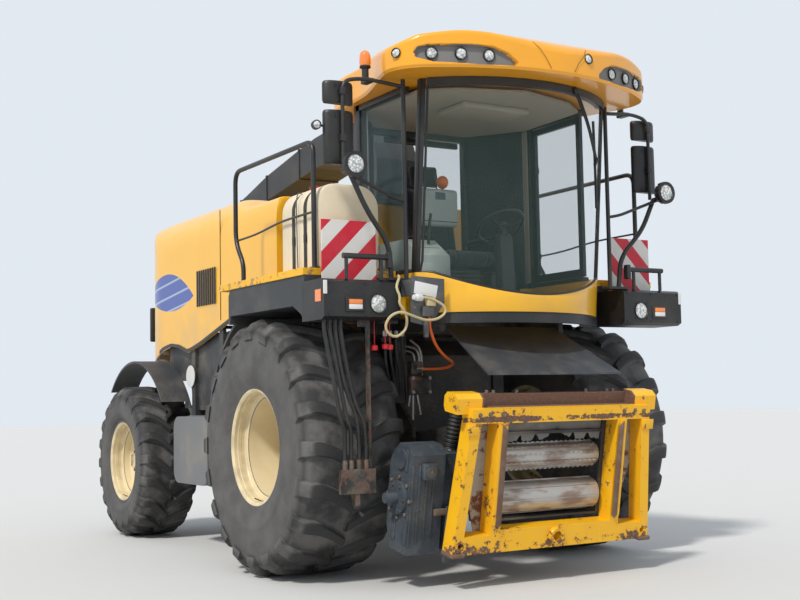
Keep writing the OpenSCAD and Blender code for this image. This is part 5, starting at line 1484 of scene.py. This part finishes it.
class Rims(bpy.types.Operator):
    """Turns the rims with their stepped barrels, dished discs, hubs and nuts, and hand holes drawn as a lip round a
    dark disc of painted shade.
    """
    bl_idname = "harvester.rims"
    bl_label = "Rims"

    def execute(self, context):
        for end, r, edge, dish, hub, top, nuts in (("front", 0.406, 0.343, -0.22, 0.23, -0.03, 12),
                                                   ("rear", 0.3556, 0.2285, 0.02, 0.14, 0.12, 8)):
            mid = (r + hub) / 2
            half = [(edge + u, r + q) for u, q in (
                (0.0095, 0.025), (0.009, 0.010), (0.004, -0.002), (-0.004, -0.0116), (-0.030, -0.0125),
                (-0.034, -0.0155), (-0.060, -0.0155), (-0.064, -0.0125), (-0.086, -0.014), (-0.094, -0.020),
                (-0.101, -0.042), (-0.106, -0.0496))]
            back = [(edge + u, r + q) for u, q in ((-0.106, -0.038), (-0.094, -0.006), (-0.080, -0.0005), (-0.002, 0),
                                                   (0, 0.004), (0.0005, 0.025))]
            barrel = half + [(-u, q) for u, q in reversed(half)] + [(-u, q) for u, q in reversed(back)] + back
            disc = ([(dish + u, q) for u, q in ((0.044, r - 0.0496), (0.036, r - 0.060), (0.020, mid),
                                                (0.012, hub + 0.02), (0.028, hub), (0.030, hub - 0.038))]
                    + [(top + u, q) for u, q in ((-0.012, hub - 0.042), (0, hub - 0.055), (0, hub * 0.52),
                                                 (0.014, hub * 0.49), (0.018, hub * 0.44), (0.018, ON_AXIS),
                                                 (0.004, ON_AXIS), (-0.012, hub * 0.46), (-0.020, hub - 0.062))]
                    + [(dish + u, q) for u, q in ((0.004, hub - 0.050), (-0.010, hub - 0.040), (-0.008, hub),
                                                  (0.004, mid), (0.034, r - 0.048), (0.040, r - 0.040))])
            weld = [(edge - 0.108, r - 0.0500), (edge - 0.108, r - 0.0480), (edge - 0.104, r - 0.0440),
                    (edge - 0.102, r - 0.0480)]
            for side, sign in SIDES:
                node = f"{end}_rim_{side}"
                centre = middle(node)
                shape = Shape()

                def spot(u, away, c, s):
                    return aimed(centre + Vector((sign * u, away * c, away * s)), (sign, 0, 0))

                shape.lathe(barrel, centre, 96)
                shape.lathe([(sign * u, q) for u, q in disc], centre, 96)
                shape.lathe([(sign * u, q) for u, q in weld], centre, 96, 1)
                for c, s in around(nuts):
                    place = spot(dish + 0.029, hub - 0.019, c, s)
                    shape.disc(place, 0.017, 0.004, 16, 2)
                    shape.turned([(0.003, 0.014), (0.018, 0.014), (0.021, 0.012), (0.021, 0.008), (0.030, 0.007)],
                                 place, 6, 2, 0.031)
                for c, s in around(6, 0.5):
                    bolt_heads(shape, [spot(top - 0.001, hub * 0.62, c, s).translation], (sign, 0, 0), 0.010, 0.009, 2)
                for k, (c, s) in enumerate(around(4, 0.28)):
                    shape.matrix = spot(dish + 0.0215, mid + 0.03, c, s) @ turned_by(sign * 90 * (k + 0.28), "Z")
                    hole = [((0.034 if abs(c) > 0.3 else 0.030) * c, 0.014 * s) for c, s in around(24)]
                    shape.rings([[(x * a, y * b, z) for x, y in hole] for a, b, z in
                                 ((1, 1, 0.0), (1, 1, 0.003), (0.86, 0.75, 0.0035), (0.84, 0.7, -0.004))], caps=False)
                    # A thin dark disc closes each hand hole: painted shade where one would look through into the wheel.
                    shape.rings([[(x * 0.86, y * 0.76, z) for x, y in hole] for z in (0.0012, 0.0018)], 1)
                shape.matrix = Matrix()
                shape.lathe([(0, ON_AXIS), (0, 0.0044), (0.0006, 0.005), (0.0034, 0.005), (0.004, 0.0044),
                             (0.004, ON_AXIS)], centre + Vector((sign * (edge - 0.05), 0, -(r - 0.02))), 10, 2)
                shape.tube([centre + Vector((sign * (edge - 0.050), 0.02, -(r - 0.018))),
                            centre + Vector((sign * (edge + 0.002), 0.02, -(r - 0.040)))], 0.0045, 2, 8)
                shape.piece(node + "_turned", f"{end}_rim_paint oily_iron rim_nuts", node, "rim_cream", 32,
                            body=f"{end}_wheel_{side}")
        return {"FINISHED"}


class Header(bpy.types.Operator):
    """Adds the header frame's curtain, side plates, bolts, hooks and boot, and the gearbox castings."""
    bl_idname = "harvester.header"
    bl_label = "Header frame parts"

    def execute(self, context):
        curtain = Shape()
        curtain.matrix = INTAKE_TURN
        rows = []
        for i in range(13):
            t = i / 12
            row = []
            for k in range(95):
                x = -0.465 + 0.93 * k / 94
                notch = (0.030 * max(0, math.sin(x * 41) + 0.6 * math.sin(x * 97 + 1)) + 0.010 * (k * 7 % 5) / 5
                         + 0.055 * math.exp(-((x - 0.06) / 0.10) ** 2))
                row.append((x, -1.052 + 0.006 * math.sin(x * 26) * t + 0.012 * t * t, 0.347 - (0.165 - notch) * t))
            rows.append(row)
        curtain.sheet(rows, 0.003)
        curtain.piece("crop_curtain", "curtain", "", None, 70, body="intake")

        extra, cast = Shape(), Shape()
        extra.matrix = INTAKE_TURN
        extra.block((-0.47, -1.068, 0.335), (0.47, -1.060, 0.352), 3)
        for s in (-1, 1):
            extra.prism([(s * x, z) for x, z in ((0.545, 0.352), (0.692, 0.352), (0.728, 0.05), (0.600, -0.405),
                                                 (0.545, -0.405))], -1.0685, -1.060, "Y")
            extra.prism([(s * x, z) for x, z in ((0.478, 0.30), (0.520, 0.335), (0.520, -0.33), (0.500, -0.352),
                                                 (0.478, -0.33))], -1.206, -1.1985, "Y", 3)
            for low, high, y0, y1, z0, z1, radius, mark, steps in (
                    (0.05, 0.05, -1.1985, -1.1885, 0.27, 0.34, 0.003, 1, 2),
                    (0.095, 0.1, -1.125, -1.02, 0.395, 0.405, 0.003, 1, 2)):
                extra.soft_block((s * 0.745 - low, y0, z0), (s * 0.745 + high, y1, z1), radius, mark, steps)
            extra.soft_block((s * 0.80 - 0.05, -1.205, -0.535), (s * 0.80 + 0.055, -1.07, -0.505), 0.010, 3, 3)
        extra.turned([(-0.001, 0.0345), (-0.001, 0.060), (0.005, 0.0615), (0.011, 0.058), (0.011, 0.0345)],
                     moved(0, -1.204, -0.44) @ turned_by(90, "X"), 48, 1, solid=False)
        extra.matrix = Matrix()
        front_bolts = ((0.70, 0.40), (0.80, -0.485), (0.70, -0.485), (0.60, -0.485), (0.62, 0.405), (0.52, 0.405))
        for spots_of, direction, height in (([(x, -1.1905, z) for x, z in front_bolts], (0, -1, 0), 0.010),
                                            ([(x, -1.02, 0.515) for x in (0.49, 0.545, 0.30)], (0, 0, 1), 0.022)):
            heads = [INTAKE_TURN @ Vector((s * x, y, z)) for s in (-1, 1) for x, y, z in spots_of]
            bolt_heads(extra, heads, INTAKE_TURN.to_3x3() @ Vector(direction), 0.012, height, 2)
        extra.piece("header_fittings", "pale_plate chipped_yellow rim_nuts rusty_steel", bevel=0.0015, body="intake")

        boot = Shape()
        low, high = Vector((-0.660, -0.80, 0.08)), Vector((-0.600, -0.80, 0.48))
        length, turns, place = (high - low).length, 15, INTAKE_TURN @ aimed(low, (high - low).normalized())
        steps = turns * 8
        boot.turned([(0.0, ON_AXIS), *((0.002 + k / steps * (length - 0.004),
                                        0.0445 + 0.0052 * math.cos(2 * math.pi * k / steps * turns))
                                       for k in range(steps + 1)), (length, ON_AXIS)], place, 40, solid=False)
        for z in (0.018, length - 0.018):
            boot.turned([(z - 0.007, 0.045), (z - 0.007, 0.0515), (z + 0.007, 0.0515), (z + 0.007, 0.045)], place, 40,
                        1, solid=False)
        boot.piece("header_boot", "hose_rubber steel", "", None, 50, body="intake")

        cast.matrix = INTAKE_TURN
        for c, s in around(8):
            cast.turned([(0, 0.013), (0.011, 0.013), (0.014, 0.010)],
                        moved(-1.0505, -0.83 + 0.135 * c, -0.20 + 0.135 * s) @ turned_by(-90, "Y"), 6, 1)
        for y, z, w in ((-0.93, -0.42, 0.05), (-0.79, -0.42, 0.05), (-0.90, 0.06, 0.04)):
            cast.soft_block((-1.058, y - w / 2, z - 0.075), (-1.045, y + w / 2, z + 0.075), 0.005, 0, 2)
        for k in range(4):
            x = -1.045 + 0.055 * k
            cast.soft_block((x, -0.968, -0.50 + 0.02 * k), (x + 0.015, -0.955, 0.04), 0.004, 0, 2)
        for low, high, radius, mark, steps in (((-0.975, -1.000, -0.06), (-0.865, -0.955, 0.05), 0.012, 0, 3),
                                               ((-0.87, -0.995, -0.30), (-0.72, -0.972, -0.255), 0.006, 1, 2),
                                               ((-0.775, -1.0, -0.62), (-0.70, -0.975, -0.24), 0.008, 0, 2),
                                               ((-0.685, -0.99, -0.44), (-0.61, -0.962, -0.20), 0.008, 0, 2)):
            cast.soft_block(low, high, radius, mark, steps)
        sight = moved(-0.92, -1.001, -0.005) @ turned_by(90, "X")
        cast.turned([(-0.002, 0.022), (-0.002, 0.040), (0.010, 0.040), (0.012, 0.036), (0.012, 0.022)], sight, 32,
                    solid=False)
        cast.turned([(-0.001, 0.0225), (0.003, 0.0225)], sight, 32, 1)
        for x, y, z in ((-0.74, -0.999, -0.28), (-0.74, -0.999, -0.58), (-0.65, -0.989, -0.235),
                        (-0.65, -0.989, -0.41)):
            cast.turned([(0, 0.011), (0.008, 0.011), (0.010, 0.008)], moved(x, y, z) @ turned_by(90, "X"), 6, 1)
        cast.piece("gearbox_castings", "gearbox_casting rim_nuts", body="intake")
        return {"FINISHED"}


def tank_arch(y, x0, x1, top):
    """The tank's round upper outline at y, from its right corner over the top to the left one."""
    rad, arch = 0.15, []
    for cx, begin in ((x1 - rad, 0), (x0 + rad, 90)):
        for a in (math.radians(begin + 9 * k) for k in range(11)):
            arch.append(at(cx + rad * math.cos(a), y, top - rad + rad * math.sin(a)))
    return arch


class Fittings(bpy.types.Operator):
    """Adds the tank's strap and ribbed caps, the bracket with its blank plates, the pipes and the small side parts."""
    bl_idname = "harvester.fittings"
    bl_label = "Tank, bracket, pipes and small parts"

    def execute(self, context):
        tank = Shape()
        low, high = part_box("additive_tank")
        y0, y1, z0 = low.y - AXLE_Y, high.y - AXLE_Y, low.z
        rings = []
        near = ((0, 0.030), (0.012, 0.008), (0.035, 0.0), (0.16, 0.0), (0.18, 0.012), (0.22, 0.012), (0.24, 0.0))
        for y, shrink in [(y0 + d, shrink) for d, shrink in near] + [(y1 - d, shrink) for d, shrink in reversed(near)]:
            x0, x1, foot = -1.425 + shrink, -0.935 - shrink, z0 + shrink * 0.4
            rings.append([at(x0 + 0.02, y, foot), at(x1 - 0.02, y, foot), at(x1, y, foot + 0.02),
                          *tank_arch(y, x0, x1, z0 + 0.60 - shrink), at(x0, y, foot + 0.02)])
        tank.rings(rings)
        for x in (-1.13, -1.23):
            place, r = moved(*at(x, -0.33, z0 + 0.595)), 0.040
            tank.turned([(0, r * 1.05), (0.006, r * 1.05), (0.008, r * 0.9)], place, 40)
            ribbed = [(c * r * (0.985 if k % 3 else 0.93), s * r * (0.985 if k % 3 else 0.93))
                      for k, (c, s) in enumerate(around(72))]
            tank.matrix = place
            tank.rings([[(u * a, v * a, z) for u, v in ribbed] for z, a in ((0.009, 1), (0.036, 1), (0.046, 0.90))], 1)
            tank.matrix = Matrix()
        for y in (y0 + 0.20, y1 - 0.20):
            x0, x1 = -1.4265, -0.9335
            path = [at(x1, y, z0 + 0.01), *tank_arch(y, x0, x1, z0 + 0.5905), at(x0, y, z0 + 0.01)]
            tank.sheet([[p + Vector((0, dy, 0)) for p in path] for dy in (-0.016, 0.016)], 0.003, 2)
            tank.soft_block(at(x0 - 0.001, y - 0.02, z0 + 0.20), at(x0 + 0.010, y + 0.02, z0 + 0.26), 0.003, 2, 2)
        tank.piece("additive_tank_moulded", "tank_cream red_cap black_trim", "additive_tank", "cream_plastic", 30)

        plate, pipes, small = Shape(), Shape(), Shape()
        plate.prism([(-0.975, 1.765), (-0.865, 1.742), (-0.775, 1.80), (-0.70, 1.90), (-0.70, 2.06), (-0.962, 2.075)],
                    AXLE_Y - 1.2, AXLE_Y - 1.194, "Y")
        plate.prism([(-0.947, 1.956), (-0.772, 1.931), (-0.756, 2.012), (-0.935, 2.040)], AXLE_Y - 1.206,
                    AXLE_Y - 1.2005, "Y", 1)
        for low, high, radius, mark in (((-0.975, -1.196, 1.94), (-0.955, -1.03, 2.05), 0.003, 0),
                                        ((-0.89, -1.225, 1.80), (-0.80, -1.20, 1.87), 0.006, 0),
                                        ((-0.86, -1.235, 1.87), (-0.79, -1.20, 1.93), 0.008, 2),
                                        ((-0.875, -1.225, 1.66), (-0.845, -1.195, 1.78), 0.006, 0)):
            plate.soft_block(at(*low), at(*high), radius, mark, 2)
        bolt_heads(plate, spots((-0.94, -1.2005, 1.86), (-0.93, -1.2005, 1.79), (-0.76, -1.2005, 1.93)), (0, -1, 0),
                   0.008, 0.006, 3)
        plate.piece("socket_bracket", "bracket_grey bare_plate cable_cream rim_nuts", bevel=0.001)

        for r, *points in ((0.009, (-0.679, 1.636), (-0.56, 1.613), (-0.534, 1.551), (-0.555, 1.433), (-0.595, 1.317),
                            (-0.60, 1.10)),
                           (0.009, (-0.614, 1.676), (-0.532, 1.621), (-0.516, 1.551), (-0.52, 1.371), (-0.567, 1.316),
                            (-0.535, 1.137)),
                           (0.007, (-0.66, 1.60), (-0.585, 1.585), (-0.572, 1.50), (-0.60, 1.40), (-0.635, 1.20))):
            pipes.tube(bent([at(x, -0.60, z) for x, z in points], 0.06), r)
        for k, (x, low_z) in enumerate(((-0.74, 1.22), (-0.79, 1.30), (-0.84, 1.26), (-0.88, 1.36))):
            pipes.tube(bent(spots((x, -0.70, 1.74), (x, -0.70, 1.60 - 0.03 * k), (x + 0.05, -0.66, 1.45 - 0.02 * k),
                                  (x + 0.08, -0.62, low_z)), 0.08), 0.011, 2)
            pipes.turned([(-0.02, 0.017), (0.018, 0.017)], moved(*at(x, -0.70, 1.715)), 6, 0, 0.02)
        for low, high, radius, steps in (((-0.75, -0.64, 1.62), (-0.67, -0.56, 1.67), 0.008, 2),
                                         ((-0.75, -0.64, 1.58), (-0.67, -0.56, 1.63), 0.008, 2),
                                         ((-0.66, -0.68, 1.28), (-0.48, -0.56, 1.42), 0.02, 3),
                                         ((-0.64, -0.66, 1.42), (-0.54, -0.58, 1.52), 0.015, 3)):
            pipes.soft_block(at(*low), at(*high), radius, 1, steps)
        bolt_heads(pipes, [at(x, -0.68, z) for x in (-0.64, -0.50) for z in (1.30, 1.40)], (0, -1, 0), 0.010, 0.010)
        pipes.piece("valve_pipes", "steel oily_iron hose_rubber", "", None, 40)

        for s in (-1, 1):
            small.turned([(-0.003, 0.099), (0.0, 0.100), (0.003, 0.099)], moved(*at(s * 1.1415, 2.32, 1.485))
                         @ turned_by(90, "Y"), 64)
            for z in (1.81, 2.02):
                bolt_heads(small, [at(s * x, -1.1005, z) for x in (1.02, 1.26, 1.53)], (0, -1, 0), 0.007, 0.005, 2)
        small.pairs((1.572, 0.003, -1.06, -0.98, 1.90, 1.98, 0.002, 1, 1),
                    (1.560, 0.014, -1.1045, -1.095, 1.945, 2.035, 0.003, 0, 1))
        for y in (1.72 + 0.05 * k for k in range(9)):
            small.pairs((1.149, 0.004, y, y + 0.022, 2.10, 2.42, 0.002, 2, 1))
        small.piece("small_plates", "bare_plate amber black_trim")
        return {"FINISHED"}


OPERATORS = [Stage, Cords, CadFinishes, Tyres, Rims, Hood, Roof, CabShell, CabInside, Lamps, Rails, Header,
             Fittings]


class HarvesterPanel(bpy.types.Panel):
    """Lists the steps that build the harvester's looks."""
    bl_idname = "VIEW3D_PT_harvester"
    bl_label = "Forage harvester"
    bl_space_type = "VIEW_3D"
    bl_region_type = "UI"
    bl_category = "Harvester"

    def draw(self, context):
        for operator in OPERATORS:
            self.layout.operator(operator.bl_idname)
        for group in (context.scene.harvester_sizes, context.scene.harvester_colours):
            for name in group.__annotations__:
                self.layout.prop(group, name)


CLASSES = [HarvesterSizes, HarvesterColours, *OPERATORS, HarvesterPanel]


def register():
    for made in CLASSES:
        bpy.utils.register_class(made)
    bpy.types.Scene.harvester_sizes = PointerProperty(type=HarvesterSizes)
    bpy.types.Scene.harvester_colours = PointerProperty(type=HarvesterColours)


def unregister():
    del bpy.types.Scene.harvester_sizes
    del bpy.types.Scene.harvester_colours
    for made in reversed(CLASSES):
        bpy.utils.unregister_class(made)


def main():
    register()
    make_finishes()
    for operator in OPERATORS:
        group, name = operator.bl_idname.split(".")
        getattr(getattr(bpy.ops, group), name)()
    bpy.context.view_layer.update()


if __name__ == "__main__":
    main()
